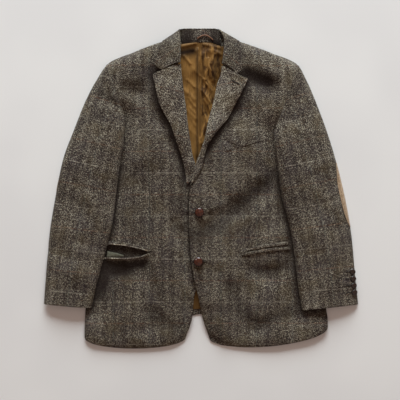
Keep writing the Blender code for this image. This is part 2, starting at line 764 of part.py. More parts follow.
def make_collar_leaf(side):
    """The collar fall's end, turned over at the crease and laid on a front."""
    shape = SIDE[side]
    cx, cy, cz, ex, ey, sag = sections(shape["collar"], sharp=(0, 1, 3, 4))
    shares = np.array((0.0, 0.22, 0.48, 0.74, 1.0))
    crease = np.stack((cx, cy, cz), 1)
    edge = np.stack((ex, ey, cz), 1)
    size = smooth((cz - 8) / 12)
    strip, inward = turned_strip(crease, edge, (0, 0, 1), shares[1:], size)
    start = len(TURNED_EDGE) - 1
    strip[:, start:, 1] += sag[:, None] * np.sin(np.pi * shares ** 2)[None, :]
    x = strip[:, start:, 0]
    y = strip[:, start:, 1]
    neck_x, neck_y, shoulder_x, shoulder_y = shape["front"][0][:4]
    seam_slope = (shoulder_y - neck_y) / (shoulder_x - neck_x)
    past_seam = smooth((y - neck_y - seam_slope * (x - neck_x) - 5) / 12)
    on_front = front_height(side, x, y) + COLLAR + 1.2 + 2.0 * smooth((y - 308) / 30)
    on_fold = 2 * COLLAR + SEAM_GAP
    lowest = on_front * (1 - past_seam) + on_fold * past_seam
    slope = cz[:, None] * (1 - shares) ** 1.2 + lowest * (1 - (1 - shares) ** 1.2)
    strip[:, start:, 2] = np.maximum(slope, lowest)
    wall("collar_leaf_" + side, strip, strip + COLLAR * inward, "tweed")


def make_collar_back():
    """The collar fall under the back, its crease turned up at the neck."""
    cx, cy, ex, ey = sections(COLLAR_BACK)
    level = np.zeros_like(cx)
    shares = np.array((0.3, 0.65, 1.0))
    size = 0.95 * smooth((50 - np.abs(cx - CENTRE_BACK_X)) / 14)
    crease = np.stack((cx, cy, level), 1)
    edge = np.stack((ex, ey, level), 1)
    strip, inward = turned_strip(crease, edge, (0, 0, -1), shares, size)
    wall("collar_back", strip, strip + COLLAR * inward, "tweed")


def make_collar_stand():
    """The stand inside the neck, between the crease and the lining."""
    cx, cy, lx, ly = sections(COLLAR_STAND)
    share = np.linspace(0, 1, 5)
    x = grid(cx, lx, share)
    y = grid(cy, ly, share)
    z = STAND_Z + 0.9 * np.sin(np.pi * share)[None, :] + 0 * x
    cloth("collar_stand", np.stack((x, y, z), 2), BACK_TWEED, "tweed_dark")


def make_hanger_loop():
    """Narrow strip arched across the foot of the stand."""
    t = np.linspace(0, 1, 15)[:, None]
    across = np.array((-0.5, 0.5))[None, :]
    x = LOOP_FROM[0] + (LOOP_TO[0] - LOOP_FROM[0]) * t + 0 * across
    y = LOOP_FROM[1] + (LOOP_TO[1] - LOOP_FROM[1]) * t + LOOP_ARCH * np.sin(np.pi * t)
    y = y + LOOP_WIDTH * across
    z = STAND_Z + 0.9 + SEAM_GAP + LOOP_THICK + 1.2 * np.sin(np.pi * t) + 0 * across
    cloth("hanger_loop", np.stack((x, y, z), 2), LOOP_THICK, "satin")


# ---- trimmings --------------------------------------------------------------
def resting_on(panel):
    """Height of a panel's upper face at a place in plan, from its own mesh."""
    tree = BVHTree.FromObject(panel, bpy.context.evaluated_depsgraph_get())

    def height(x, y):
        x, y = np.broadcast_arrays(x, y)
        result = np.empty(x.shape)
        for place in np.ndindex(x.shape):
            start = Vector((x[place] + PLACE[0], y[place] + PLACE[1], 200.0)) * MM
            hit = tree.ray_cast(start, Vector((0, 0, -1)))[0]
            result[place] = hit.z / MM if hit else 0.0
        return result

    return height


def make_strip(name, panel, path, width, thickness, lift, finish, steps):
    """Flat strip along a line on a panel; lift is its height in the middle."""
    path = np.asarray(path, float)
    t = np.linspace(0, len(path) - 1, steps)
    knots = np.arange(len(path))
    px = flow(knots, path[:, 0], t)
    py = flow(knots, path[:, 1], t)
    along = np.stack((np.gradient(px), np.gradient(py)), 1)
    along = along / np.linalg.norm(along, axis=1, keepdims=True)
    across = np.linspace(-0.5, 0.5, 3)[None, :] * np.broadcast_to(width, px.shape)[:, None]
    x = px[:, None] - along[:, 1:] * across
    y = py[:, None] + along[:, :1] * across
    rise = lift * np.sin(np.pi * np.linspace(0, 1, steps))[:, None]
    z = resting_on(panel)(x, y) + 0.5 + thickness + rise
    cloth(name, np.stack((x, y, z), 2), thickness, finish)


def make_button(name, place, axis, diameter, height, finish="leather"):
    """Domed button: rings about an axis, from the rim's foot to the crown."""
    axis = np.asarray(axis, float) / np.linalg.norm(axis)
    side = np.cross(axis, (0.0, 1.0, 0.0))
    side = side / np.linalg.norm(side)
    other = np.cross(axis, side)
    angle = np.linspace(0, 2 * np.pi, 14, endpoint=False)
    radius = diameter / 2 * np.array((0.74, 1.0, 0.86, 0.5))
    level = height * np.array((0.0, 0.4, 0.84, 0.98))
    ring = np.cos(angle)[:, None] * side + np.sin(angle)[:, None] * other
    points = ring[None] * radius[:, None, None] + axis * level[:, None, None]
    rings, segments = points.shape[:2]
    points = np.concatenate((points.reshape(-1, 3), [axis * 0.0, axis * height])) + place
    index = np.arange(rings * segments).reshape(rings, segments)
    following = np.roll(index, -1, axis=1)
    a, b = index[:-1].ravel(), following[:-1].ravel()
    c, d = following[1:].ravel(), index[1:].ravel()
    foot, crown = rings * segments, rings * segments + 1
    faces = np.concatenate((
        np.stack((a, b, c), 1),
        np.stack((a, c, d), 1),
        np.stack((following[0], index[0], np.full(segments, foot)), 1),
        np.stack((index[-1], following[-1], np.full(segments, crown)), 1),
    ))
    add_object(name, points, faces, finish)


def make_front_buttons(panel):
    height = resting_on(panel)
    angle = np.linspace(0, 2 * np.pi, 12, endpoint=False)
    for name, x, y in FRONT_BUTTONS:
        reach = BUTTON_DIAMETER * 0.4
        around = height(x + reach * np.cos(angle), y + reach * np.sin(angle))
        foot = max(around.max(), float(height(x, y))) + SEAM_GAP
        make_button("front_button_" + name, (x, y, foot), (0, 0, 1), BUTTON_DIAMETER, BUTTON_HEIGHT)


def make_cuff_buttons_left(sleeve):
    """Four buttons beside the left sleeve's outer fold, square to the cloth there."""
    height = resting_on(sleeve)
    reach = CUFF_BUTTON_DIAMETER * 0.38
    angle = np.linspace(0, 2 * np.pi, 12, endpoint=False)
    for number, (x, y) in enumerate(CUFF_BUTTONS_LEFT, start=1):
        inside, outside = height(np.array((x - reach, x + reach)), y)
        slope = (outside - inside) / (2 * reach)
        axis = np.array((-slope, 0.0, 1.0)) / np.hypot(slope, 1.0)
        px = x + np.append(np.cos(angle), (0.0, 0.5)) * reach
        py = y + np.append(np.sin(angle), (0.0, 0.0)) * reach
        centre = np.array((x, y, (inside + outside) / 2))
        standing = np.stack((px, py, height(px, py)), 1) - centre
        foot = centre + axis * ((standing @ axis).max() + SEAM_GAP)
        make_button(f"cuff_button_left_{number}", foot, axis, CUFF_BUTTON_DIAMETER, CUFF_BUTTON_HEIGHT)


def make_cuff_buttons_right():
    """The right sleeve lies on its buttons, which rest on the surface."""
    for number, (x, y) in enumerate(CUFF_BUTTONS_RIGHT, start=1):
        make_button(f"cuff_button_right_{number}", (x, y, CUFF_BUTTON_HEIGHT), (0, 0, -1),
                    CUFF_BUTTON_DIAMETER, CUFF_BUTTON_HEIGHT)


def make_patch_right():
    """Oval suede patch under the right elbow, flat on the surface."""
    t = np.linspace(0, 1, 13)
    half = np.sqrt(np.clip(1 - (2 * t - 1) ** 2, 0.04, 1))
    cx, cy, half_width, half_length = PATCH_RIGHT
    across = np.linspace(-1, 1, 7)[None, :]
    x = cx + half_width * half[:, None] * across
    y = cy + half_length * (1 - 2 * t)[:, None] + 0 * across
    z = np.full_like(x, PATCH)
    cloth("elbow_patch_right", np.stack((x, y, z), 2), PATCH, "suede")


def make_patch_left(sleeve):
    """Oval suede patch round the left sleeve's outer fold, mostly under it."""
    ox, oy = sections(SLEEVE_LEFT, sharp=(0, 1, 2, 3))[:2]
    height = resting_on(sleeve)
    top_y, bottom_y, under_width, upper_width = PATCH_LEFT
    t = np.linspace(0, 1, 13)
    y = top_y + (bottom_y - top_y) * t
    fold_x = np.interp(y, oy[::-1], ox[::-1])
    half = np.sqrt(np.clip(1 - (2 * t - 1) ** 2, 0.05, 1))
    round_fold = PATCH + 0.8
    beside = height(fold_x - 0.5, y)
    columns = []
    for share in (1.0, 0.55, 0.15):
        columns.append(np.stack((fold_x - under_width * half * share, y, 0 * y), 1))
    columns.append(np.stack((fold_x + 0.6 * round_fold, y, 0 * y + 0.3), 1))
    columns.append(np.stack((fold_x + round_fold, y, 0 * y + 2.8), 1))
    columns.append(np.stack((fold_x + round_fold, y, beside + 1.0), 1))
    for share in (0.2, 0.6, 1.0):
        x = fold_x - upper_width * half * share
        steep = np.clip(1 - (fold_x - x) / 3.5, 0, 1)
        lift = (PATCH + 1.8) * (1 + 1.1 * steep)
        columns.append(np.stack((x, y, height(x, y) + lift), 1))
    outer = np.stack(columns, 1)
    n = normals(outer)
    if n[6, 0, 2] > 0:
        n = -n
    n[:, :3] = (0, 0, -1)
    n[:, 3:, 1] = 0
    n = n / np.linalg.norm(n, axis=2, keepdims=True)
    wall("elbow_patch_left", outer, outer - PATCH * n, "suede")


FINISHES = {
    "tweed": ((0.19, 0.16, 0.13), 0.9),
    "tweed_dark": ((0.13, 0.10, 0.08), 0.9),
    "satin": ((0.33, 0.19, 0.05), 0.35),
    "suede": ((0.36, 0.26, 0.17), 0.9),
    "leather": ((0.10, 0.04, 0.02), 0.4),
    "pocketing": ((0.20, 0.21, 0.16), 0.7),
}

for leftover in list(bpy.data.objects):
    bpy.data.objects.remove(leftover, do_unlink=True)

fronts = {}
top_sleeves = {}
for wearer_side in ("right", "left"):
    make_back(wearer_side)
    fronts[wearer_side] = make_front(wearer_side)
    make_under_sleeve(wearer_side)
    top_sleeves[wearer_side] = make_top_sleeve(wearer_side)
    make_lapel(wearer_side)
    make_collar_leaf(wearer_side)
make_lining()
make_collar_back()
make_collar_stand()
make_hanger_loop()
for trim_name, trim_side, trim_path, trim_width, trim_thick, trim_lift, trim_finish in TRIMMINGS:
    make_strip(trim_name, fronts[trim_side], trim_path, trim_width, trim_thick, trim_lift,
               trim_finish, 4 * len(trim_path) + 1)
make_front_buttons(fronts["left"])
make_cuff_buttons_left(top_sleeves["left"])
make_cuff_buttons_right()
make_patch_right()
make_patch_left(top_sleeves["left"])
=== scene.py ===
# %% [markdown]
# # A tweed hacking jacket, laid flat
# The jacket lies on its back on a pale floor, its sleeves beside it and its
# fronts buttoned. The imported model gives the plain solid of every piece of
# cloth. This script makes the cloth that shows: the same panels with finer
# folds, rolled edges and the real finishes. Each panel is a grid of points
# worked out as whole arrays, so its form stays a formula that can be read.

# %% The frame, and the units of this script
import math

import bpy
import numpy as np
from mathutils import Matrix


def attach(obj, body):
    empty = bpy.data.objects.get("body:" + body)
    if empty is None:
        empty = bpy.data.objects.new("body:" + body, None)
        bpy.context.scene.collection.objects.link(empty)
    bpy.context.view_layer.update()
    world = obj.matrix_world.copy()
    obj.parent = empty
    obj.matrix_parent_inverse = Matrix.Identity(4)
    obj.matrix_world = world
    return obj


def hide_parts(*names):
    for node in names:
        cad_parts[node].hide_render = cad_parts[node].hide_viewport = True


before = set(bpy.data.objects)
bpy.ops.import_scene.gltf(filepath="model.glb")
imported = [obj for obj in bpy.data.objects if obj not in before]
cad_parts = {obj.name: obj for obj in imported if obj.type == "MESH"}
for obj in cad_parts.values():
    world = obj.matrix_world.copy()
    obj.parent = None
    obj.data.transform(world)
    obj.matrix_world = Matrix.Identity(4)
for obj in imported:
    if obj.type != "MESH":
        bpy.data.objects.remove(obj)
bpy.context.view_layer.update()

MM = 0.001  # tables and formulas are in millimetres
PLACE = np.array((-0.5, -0.25, 0.0))  # brings the tables' centre to the origin


# %% [markdown]
# ## Soft steps, curves and folds
# A tailor's curve has no corners, so tables are read through a monotone cubic
# that never swings past its rows. A fold is a ridge or a trough along a line:
# its height falls off as a bell curve, and its depth wanders along its length,
# as real creases do.

# %% Formulas that every piece uses
def smooth(t):
    """Soft step: 3t^2 - 2t^3 between 0 and 1, level outside them."""
    t = np.clip(t, 0.0, 1.0)
    return t * t * (3.0 - 2.0 * t)


def rounded(distance, radius):
    """Quarter circle: the square root of 1 - (1 - d/r)^2, from 0 up to 1."""
    s = np.clip(distance / radius, 0.0, 1.0)
    return np.sqrt(1.0 - (1.0 - s) ** 2)


def flow(knots, values, at):
    """Cubic pieces whose slope at a knot is the harmonic mean of its two sides."""
    knots = np.asarray(knots, float)
    values = np.asarray(values, float)
    at = np.clip(at, knots[0], knots[-1])
    step = np.diff(knots)
    slope = np.diff(values) / step
    product = slope[:-1] * slope[1:]
    total = slope[:-1] + slope[1:]
    inside = np.where(product > 0, 2.0 * product / np.where(total == 0, 1.0, total), 0.0)
    tangent = np.concatenate(([slope[0]], inside, [slope[-1]]))
    k = np.clip(np.searchsorted(knots, at, side="right") - 1, 0, len(step) - 1)
    t = (at - knots[k]) / step[k]
    h = step[k]
    return (values[k] * (1 + 2 * t) * (1 - t) ** 2
            + tangent[k] * h * t * (1 - t) ** 2
            + values[k + 1] * t * t * (3 - 2 * t)
            + tangent[k + 1] * h * t * t * (t - 1))


def columns_of(table, rows, straight_until=0):
    """A table's columns at evenly spaced rows; straight up to one row, then smooth."""
    table = np.asarray(table, float)
    knots = np.arange(len(table))
    at = np.linspace(0, len(table) - 1, rows)
    smoothly = [flow(knots, column, at) for column in table.T]
    straight = [np.interp(at, knots, column) for column in table.T]
    return [np.where(at <= straight_until, a, b) for a, b in zip(straight, smoothly)]


WANDER = 0.22  # share of a fold's height that comes and goes
WANDER_LENGTH = 17.0  # mm along the fold for one radian of that sine
WANDER_SHIFT = 2.1  # radians from one fold of a table to the next


def fold_field(folds, x, y):
    """Sum of folds: height x bell curve of the distance to a line.

    The line has two ends, past which the fold fades out, and its height wanders
    by a slow sine along the way, so that no two stretches are alike.
    """
    total = np.zeros(np.broadcast(x, y).shape)
    for number, (ax, ay, bx, by, half_width, height) in enumerate(folds):
        dx = bx - ax
        dy = by - ay
        long = math.hypot(dx, dy)
        along = ((x - ax) * dx + (y - ay) * dy) / (long * long)
        near = np.clip(along, 0.0, 1.0)
        away = np.hypot(x - ax - near * dx, y - ay - near * dy)
        wander = 1 + WANDER * np.sin(near * long / WANDER_LENGTH + WANDER_SHIFT * number)
        total = total + height * wander * np.exp(-(away / half_width) ** 2)
    return total


def line_x(points, y):
    """x of an outline at height y, from (x, y) points listed downwards."""
    points = np.asarray(points, float)[::-1]
    return np.interp(y, points[:, 1], points[:, 0])


def soft_step(value, step):
    """Soft step of a value, from 0 at the step's start to 1 a width further on."""
    start, width = step
    return smooth((value - start) / width)


def grid(left, right, share):
    """Points between two edges, at the given shares of the way across."""
    share = np.asarray(share, float)[None, :]
    return np.asarray(left)[:, None] * (1 - share) + np.asarray(right)[:, None] * share


def sagging(sag, share):
    """Sag of straight rows: half an ellipse, 2 x the square root of s(1 - s)."""
    return sag[:, None] * np.sqrt(4 * share * (1 - share))


TINY = 1e-9  # keeps a division off zero


def unit(vectors):
    """Vectors scaled to length one."""
    return vectors / np.maximum(np.linalg.norm(vectors, axis=-1, keepdims=True), TINY)


def unit_normals(points):
    """Cross product of a grid's two directions, of length one."""
    return unit(np.cross(np.gradient(points, axis=0), np.gradient(points, axis=1)))


def upward_normals(points, row, column):
    """Unit normals, on the side that points up at one place of the grid."""
    n = unit_normals(points)
    return n * np.sign(n[row, column, 2])

# %% [markdown]
# ## From a grid of points to a piece of cloth
# Cloth has two sides and a turned edge. A Solidify modifier would give a square
# edge, so the wall is built here: the outer grid, the same grid moved in by the
# cloth's thickness, and a few more rows past each side that close the wall in a
# half circle. Every piece also gets a map of its threads in metres, which the
# weave follows, so checks turn with a sleeve or a lapel as they do when it's cut.

# %% Closing a wall, and putting it in the scene
EDGE_STEPS = np.radians((90.0, 66.0, 40.0, 18.0))  # from the edge's middle to the face


def cap_rows(outer, inner, uv, bulge):
    """Rows past a wall's first row that close it.

    The wall's middle is kept and its half thickness shrinks as the cosine of an
    angle from 0 to 90 degrees; it moves out by the bulge times the angle's sine.
    """
    middle = (outer[0] + inner[0]) / 2
    half = (outer[0] - inner[0]) / 2
    away = unit(middle - (outer[1] + inner[1]) / 2)
    out_rows = [middle + half * np.cos(a) + away * bulge * np.sin(a) for a in EDGE_STEPS]
    in_rows = [middle - half * np.cos(a) + away * bulge * np.sin(a) for a in EDGE_STEPS]
    out_rows[0] = in_rows[0] = middle + away * bulge
    uv_rows = [uv[0]] * len(EDGE_STEPS)
    return (np.concatenate((out_rows, outer)), np.concatenate((in_rows, inner)),
            np.concatenate((uv_rows, uv)))


def closed_wall(outer, inner, uv, bulges):
    """Caps all four sides of a wall: bulges in mm for its first and last row, then column."""
    for side, bulge in enumerate(bulges):
        if side == 2:
            outer, inner, uv = (np.swapaxes(part, 0, 1) for part in (outer, inner, uv))
        if side % 2:
            outer, inner, uv = outer[::-1], inner[::-1], uv[::-1]
        outer, inner, uv = cap_rows(outer, inner, uv, bulge)
        if side % 2:
            outer, inner, uv = outer[::-1], inner[::-1], uv[::-1]
    return outer, inner, uv


# the first mark paints shade (above 0) and light (below 0) into a colour
MARK_NAMES = ("painted_light_and_shade", "seam", "crumple_and_shade")


def put_in_scene(name, points, faces, marks, finish, nodes):
    """One mesh object from points in mm; its marks are u and v in metres, then MARK_NAMES.

    Its faces point outwards when the signed volume is positive: the sum of
    a . (b x c) + a . (c x d) over its quads.
    """
    points = (points + PLACE) * MM
    a, b, c, d = (points[faces[:, k]] for k in range(4))
    volume = sum(np.einsum("ij,ij->i", a, np.cross(p, q)).sum() for p, q in ((b, c), (c, d)))
    if volume < 0:
        faces = faces[:, ::-1]
    mesh = bpy.data.meshes.new(name)
    mesh.vertices.add(len(points))
    mesh.vertices.foreach_set("co", points.astype(np.float32).ravel())
    mesh.loops.add(faces.size)
    mesh.loops.foreach_set("vertex_index", faces.astype(np.int32).ravel())
    mesh.polygons.add(len(faces))
    mesh.polygons.foreach_set("loop_start", np.arange(0, faces.size, 4, dtype=np.int32))
    mesh.update(calc_edges=True)
    layer = mesh.uv_layers.new(name="threads")
    layer.data.foreach_set("uv", marks[faces.ravel(), :2].astype(np.float32).ravel())
    for title, values in zip(MARK_NAMES, marks.T[2:]):
        attribute = mesh.attributes.new(title, "FLOAT", "POINT")
        attribute.data.foreach_set("value", values.astype(np.float32))
    mesh.shade_smooth()
    mesh.materials.append(finish)
    made = bpy.data.objects.new(name, mesh)
    bpy.context.scene.collection.objects.link(made)
    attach(made, "root")
    if nodes:
        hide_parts(*nodes)
    return made


def wall_faces(rows, columns):
    """Quads of a wall whose two sides share their border points."""
    outer = np.arange(rows * columns).reshape(rows, columns)
    inner = outer + rows * columns
    for border in (0, -1):
        inner[border] = outer[border]
        inner[:, border] = outer[:, border]

    def quads(index):
        corners = (index[:-1, :-1], index[:-1, 1:], index[1:, 1:], index[1:, :-1])
        return np.stack(corners, -1).reshape(-1, 4)

    return np.concatenate((quads(outer), quads(inner)[:, ::-1]))


def wall_piece(name, outer, inner, marks, finish, bulges):
    """A closed piece between two grids of points; named for its node, and one word more."""
    outer, inner, marks = closed_wall(outer, inner, marks, bulges)
    rows, columns = outer.shape[:2]
    points = np.concatenate((outer.reshape(-1, 3), inner.reshape(-1, 3)))
    both = np.tile(marks.reshape(rows * columns, -1), (2, 1))
    used, faces = np.unique(wall_faces(rows, columns), return_inverse=True)
    faces = faces.reshape(-1, 4)
    print(f"{name}: {2 * len(faces)} triangles")
    node = name.rsplit("_", 1)[0]
    return put_in_scene(name, points[used], faces, both[used], finish, [node])


def cloth_piece(name, outer, inner, marks, finish, bulges):
    """A piece of cloth between two grids."""
    made = wall_piece(name, outer, inner, marks, finish, bulges)
    return made


DEEPEST = 1.6  # a sloping wall is at most this many thicknesses deep
THINNEST = 0.5  # and at least this many


def below(outer, thickness, lowest):
    """The wall's other side, straight below: thickness / cosine of the slope."""
    level = np.abs(unit_normals(outer)[..., 2])
    inner = outer.copy()
    inner[..., 2] -= thickness * np.minimum(1 / np.maximum(level, 0.1), DEEPEST)
    inner[..., 2] = np.maximum(inner[..., 2], lowest)
    inner[..., 2] = np.minimum(inner[..., 2], outer[..., 2] - THINNEST * thickness)
    return inner


def laid_out(points, margin):
    """Plan places, moved outward so that threads don't stretch where cloth turns down.

    Each step between neighbours adds its length in space less its length in
    plan, summed from the middle. Only steps within a margin of an edge count,
    as a share of the way across.
    """
    plan = points[..., :2].copy()
    for axis in (0, 1):
        steps = np.diff(points, axis=axis)
        way = points.take([-1], axis=axis)[..., :2] - points.take([0], axis=axis)[..., :2]
        way = unit(way)
        forward = (steps[..., :2] * way).sum(axis=2)
        level = np.copysign(np.linalg.norm(steps[..., :2], axis=2), forward)
        extra = np.linalg.norm(steps, axis=2) - level
        share = np.linspace(0, 1, extra.shape[axis])
        near_edge = (np.minimum(share, 1 - share) <= margin) * 1.0
        extra = extra * (near_edge[:, None] if axis == 0 else near_edge[None, :])
        first = np.zeros_like(extra.take([0], axis=axis))
        run = np.concatenate((first, np.cumsum(extra, axis=axis)), axis=axis)
        run = run - run.take([run.shape[axis] // 2], axis=axis)
        plan += run[..., None] * way
    return plan


BODY_PHASE = (58.4, 66.0)  # where the checks fall on the fronts and the backs, in mm
ALL_OF_IT = 0.5  # a margin that takes in a whole panel


def spun(x, y, turn):
    """x and y turned about the origin by an angle in degrees."""
    cosine = math.cos(math.radians(turn))
    sine = math.sin(math.radians(turn))
    return x * cosine - y * sine, x * sine + y * cosine


def plan_threads(points, turn=0.0, phase=BODY_PHASE, margin=ALL_OF_IT):
    """Thread map of a panel: its plan in metres, turned by an angle in degrees."""
    plan = laid_out(points, margin)
    return np.stack(spun(plan[..., 0] + phase[0], plan[..., 1] + phase[1], turn), 2) * MM


def with_marks(threads, *marks):
    """Thread map with more values for each point, in the order of MARK_NAMES.

    The first is painted shade, up to 1, and painted light below 0; seam is a
    distance in mm; and the last is 1 where satin is creased, with painted shade.
    """
    more = [np.broadcast_to(mark, threads.shape[:2])[..., None] for mark in marks]
    return np.concatenate([threads] + more, 2)

# %% [markdown]
# ## The pattern pieces
# These tables are the jacket's cut as it lies: a row for each section across a
# panel, from the shoulder down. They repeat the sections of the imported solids,
# because the cloth that shows has to lie exactly where its solid lies.

# %% Sections of the fronts, the backs and the lining
# inner x, inner y, outer x, outer y, sag of the section's middle
FRONT_RIGHT = (
    (-72, 356, -226, 297, 6),
    (-63, 331, -211.3, 256, 3),
    (-56, 307, -196.7, 215, 0),
    (-52, 274, -182, 174, -4),
    (-47, 232, -222, 145, -14),
    (-42, 188, -262, 116, -18),
    (-35, 148, -265, 60, -8),
    (-28, 105, -267, 5, 0),
    (-19, 57, -269, -50, 0),
    (8, 10, -271, -108, 0),
    (19, -40, -273, -160, 0),
    (19, -105, -275, -210, 0),
    (14, -165, -277, -255, 0),
    (-7, -222, -278, -292, 0),
    (-18, -266, -279, -318, 0),
    (-22, -312, -280, -340, -12),
    (-36, -357, -280, -358, -27),
)
FRONT_LEFT = (
    (68, 357, 234, 295, 6),
    (61, 330, 214, 242, 3),
    (54, 302, 194, 189, 0),
    (49, 268, 174, 136, -14),
    (36, 180, 220, 126, -40),
    (28, 160, 266, 124, -38),
    (20, 135, 271, 70, -14),
    (13, 106, 276, 15, -2),
    (-4, 66, 281, -45, 0),
    (-16, 24, 285, -100, 0),
    (-27, -15, 289, -145, 0),
    (-28, -90, 293, -190, 0),
    (-23, -165, 296, -230, 0),
    (-15, -221, 299, -265, 0),
    (-6, -258, 301.5, -292, 0),
    (6, -318, 305, -315, -10),
    (20, -359, 305, -333, -33),
)
BACK_RIGHT = (
    (-4, 349, -226, 297, 17),
    (-4, 275, -238, 236.7, 4),
    (-4, 195, -250, 176.3, 0),
    (-4, 125, -262, 116, 0),
    (-4, -90, -271, -120, 0),
    (-4, -302, -280, -358, 0),
)
BACK_LEFT = (
    (-4, 349, 234, 295, 18),
    (-4, 275, 244.7, 238, 4),
    (-4, 200, 255.3, 181, 0),
    (-4, 130, 266, 124, 0),
    (-4, -90, 286, -110, 0),
    (-4, -302, 305, -333, 0),
)
BACK_LINING = (
    (-50, 342, 53, 342, 0),
    (-110, 318, 115, 318, 0),
    (-180, 285, 186, 285, 0),
    (-195, 240, 200, 240, 0),
    (-215, 150, 220, 150, 0),
    (-243, 95, 245, 95, 0),
    (-250, -100, 268, -95, 0),
    (-262, -318, 284, -300, 20),
)

# %% Sections of the sleeves
# outer x, outer y, inner x, inner y, loft of the upper layer
SLEEVE_RIGHT = (
    (-226, 297, -182, 174, 10),
    (-252, 258, -184, 140, 19),
    (-276, 212, -187, 107, 21),
    (-305, 140, -196, 56, 20),
    (-331, 68, -203, 4, 18),
    (-350, -28, -213, -78, 16),
    (-363, -110, -230, -150, 15),
    (-370, -196, -250, -222, 13),
    (-376, -277, -264, -286, 10),
)
SLEEVE_LEFT = (
    (234, 295, 174, 136, 10),
    (257, 252, 176, 108, 19),
    (281, 194, 182, 74, 21),
    (305, 128, 188, 30, 20),
    (327, 52, 196, -24, 18),
    (348, -40, 214, -90, 16),
    (362, -125, 226, -158, 15),
    (370, -212, 233, -222, 13),
    (377, -278, 244, -291, 10),
)
# Lower layers: outer x, outer y, inner x, inner y
UNDER_SLEEVE_RIGHT = (
    (-229, 293, -227.5, 290),
    (-252, 258, -236.3, 249),
    (-276, 212, -247.3, 195),
    (-299, 155, -257.7, 142),
    (-308, 133, -262.9, 116.5),
    (-325, 86, -232, 100),
    (-333, 60, -203, 96),
    (-339, 30, -194, 66),
    (-346, -8, -200.1, 26),
    (-354, -53, -213, -78),
    (-363, -110, -230, -150),
    (-370, -196, -250, -222),
    (-376, -277, -264, -286),
)
UNDER_SLEEVE_LEFT = (
    (237, 291, 235.8, 288),
    (257, 252, 243.7, 247),
    (281, 194, 254.6, 189),
    (298.4, 146, 263, 144),
    (304, 130.5, 266.9, 124.3),
    (315.4, 92, 236, 110),
    (321, 73, 204, 102),
    (327.5, 50, 188, 60),
    (333.8, 22, 196, -24),
    (348, -40, 214, -90),
    (362, -125, 226, -158),
    (370, -212, 233, -222),
    (377, -278, 244, -291),
)

# %% Sections of the lapels and the collar
# roll x, roll y, edge x, edge y
LAPEL_RIGHT = (
    (-48, 297, -84, 286),
    (-47, 284, -97, 280),
    (-46, 272, -113, 270),
    (-43, 250, -107, 240),
    (-40, 222, -99, 204),
    (-36, 197, -89, 183),
    (-32, 160, -73, 155),
    (-26, 118, -57, 110),
    (-20, 80, -43, 69),
    (-13.5, 55, -38, 45),
    (-20.5, 22, -33, 12),
)
LAPEL_LEFT = (
    (49, 291, 84, 274),
    (48, 278, 100, 266),
    (45, 265, 110, 262),
    (38, 248, 104, 246),
    (33, 222, 93, 223),
    (26, 193, 79, 197),
    (16, 156, 62, 165),
    (9, 122, 47, 147),
    (-1, 90, 30, 125),
    (-10.5, 64, 14, 98),
    (-19, 34, -1, 46),
    (-25.5, 8, -15, 20),
)
# crease x, crease y, crease z, edge x, edge y, sag of the section
COLLAR_RIGHT = (
    (-49, 299, 31, -110, 296, -13),
    (-48, 316, 31, -106, 312, -5),
    (-48, 334, 29, -99, 334, 0),
    (-49, 352, 25, -95, 347, 0),
    (-50, 369, 18, -92, 352, 0),
    (-51, 384, 6, -91, 355, 0),
)
COLLAR_LEFT = (
    (50, 297, 31, 97, 284, -13),
    (52, 314, 31, 96, 308, -4),
    (54, 334, 29, 95, 332, 0),
    (55, 352, 25, 93, 346, 0),
    (50, 370, 18, 92, 351, 0),
    (43, 384, 6, 91, 354, 0),
)
# crease x, crease y, lower edge x, lower edge y
COLLAR_BACK = (
    (-50, 384, -90, 353),
    (-38, 385, -64, 343),
    (-22, 385, -34, 337),
    (-4, 385, -4, 335),
    (14, 385, 28, 337),
    (30, 385, 60, 343),
    (42, 384, 90, 353),
)
COLLAR_STAND = (
    (-46, 380, -47, 348),
    (-30, 381, -29, 350),
    (-4, 381, -4, 352),
    (22, 381, 24, 351),
    (40, 380, 49, 343),
)

# %% [markdown]
# ## Where the cloth lies, and how it lies there
# A laid-out jacket isn't flat. The body keeps some of its roundness, the cloth
# is pressed down beside the sleeves, and free edges come down to what they lie
# on. Long soft folds run from the armpits to the buttons, where the fronts are
# pulled together. Each is one row of a table: a line, a width and a depth.

# %% Folds
BODY_LOFT = (
    (-386, 10.0),
    (-280, 12.5),
    (-180, 15.0),
    (-60, 17.0),
    (60, 19.0),
    (174, 22.0),
    (260, 24.0),
    (320, 21.0),
    (357, 17.0),
)
# start x, start y, end x, end y, half width, height
BROAD_FOLDS = (
    (178, 42, 150, -8, 26, -3.0),  # below the left armpit ...
    (150, -8, 84, -48, 26, -5.0),  # ... across to the upper button
    (84, -48, 20, -92, 24, -3.5),
    (200, -8, 120, -72, 22, 2.5),
    (222, -170, 165, -212, 24, -3.5),  # hollow under the left pocket
    (165, -212, 128, -188, 22, -3.0),
    (94, -235, 96, -345, 22, -3.0),  # upright hollows of the left skirt
    (170, -250, 176, -350, 24, 2.0),
    (40, -250, 62, -350, 20, 2.0),
    (118, 262, 168, 238, 24, -4.5),  # hollow beside the left lapel's tip
    (112, 180, 60, 90, 20, -2.0),
    (-114, 270, -150, 232, 24, -4.0),  # hollow beside the right lapel's tip
    (-96, 170, -62, 72, 20, -2.5),
    (-126, 40, -126, -140, 16, -1.4),  # dart of the right front
    (106, 10, 106, -140, 14, -1.0),  # dart of the left front
    (-228, -186, -140, -196, 26, -4.5),  # hollow under the right pocket
    (-120, -230, -108, -350, 22, -2.5),
    (-190, -240, -180, -340, 24, 2.0),
    (-60, -90, -20, -150, 20, -2.0),
)
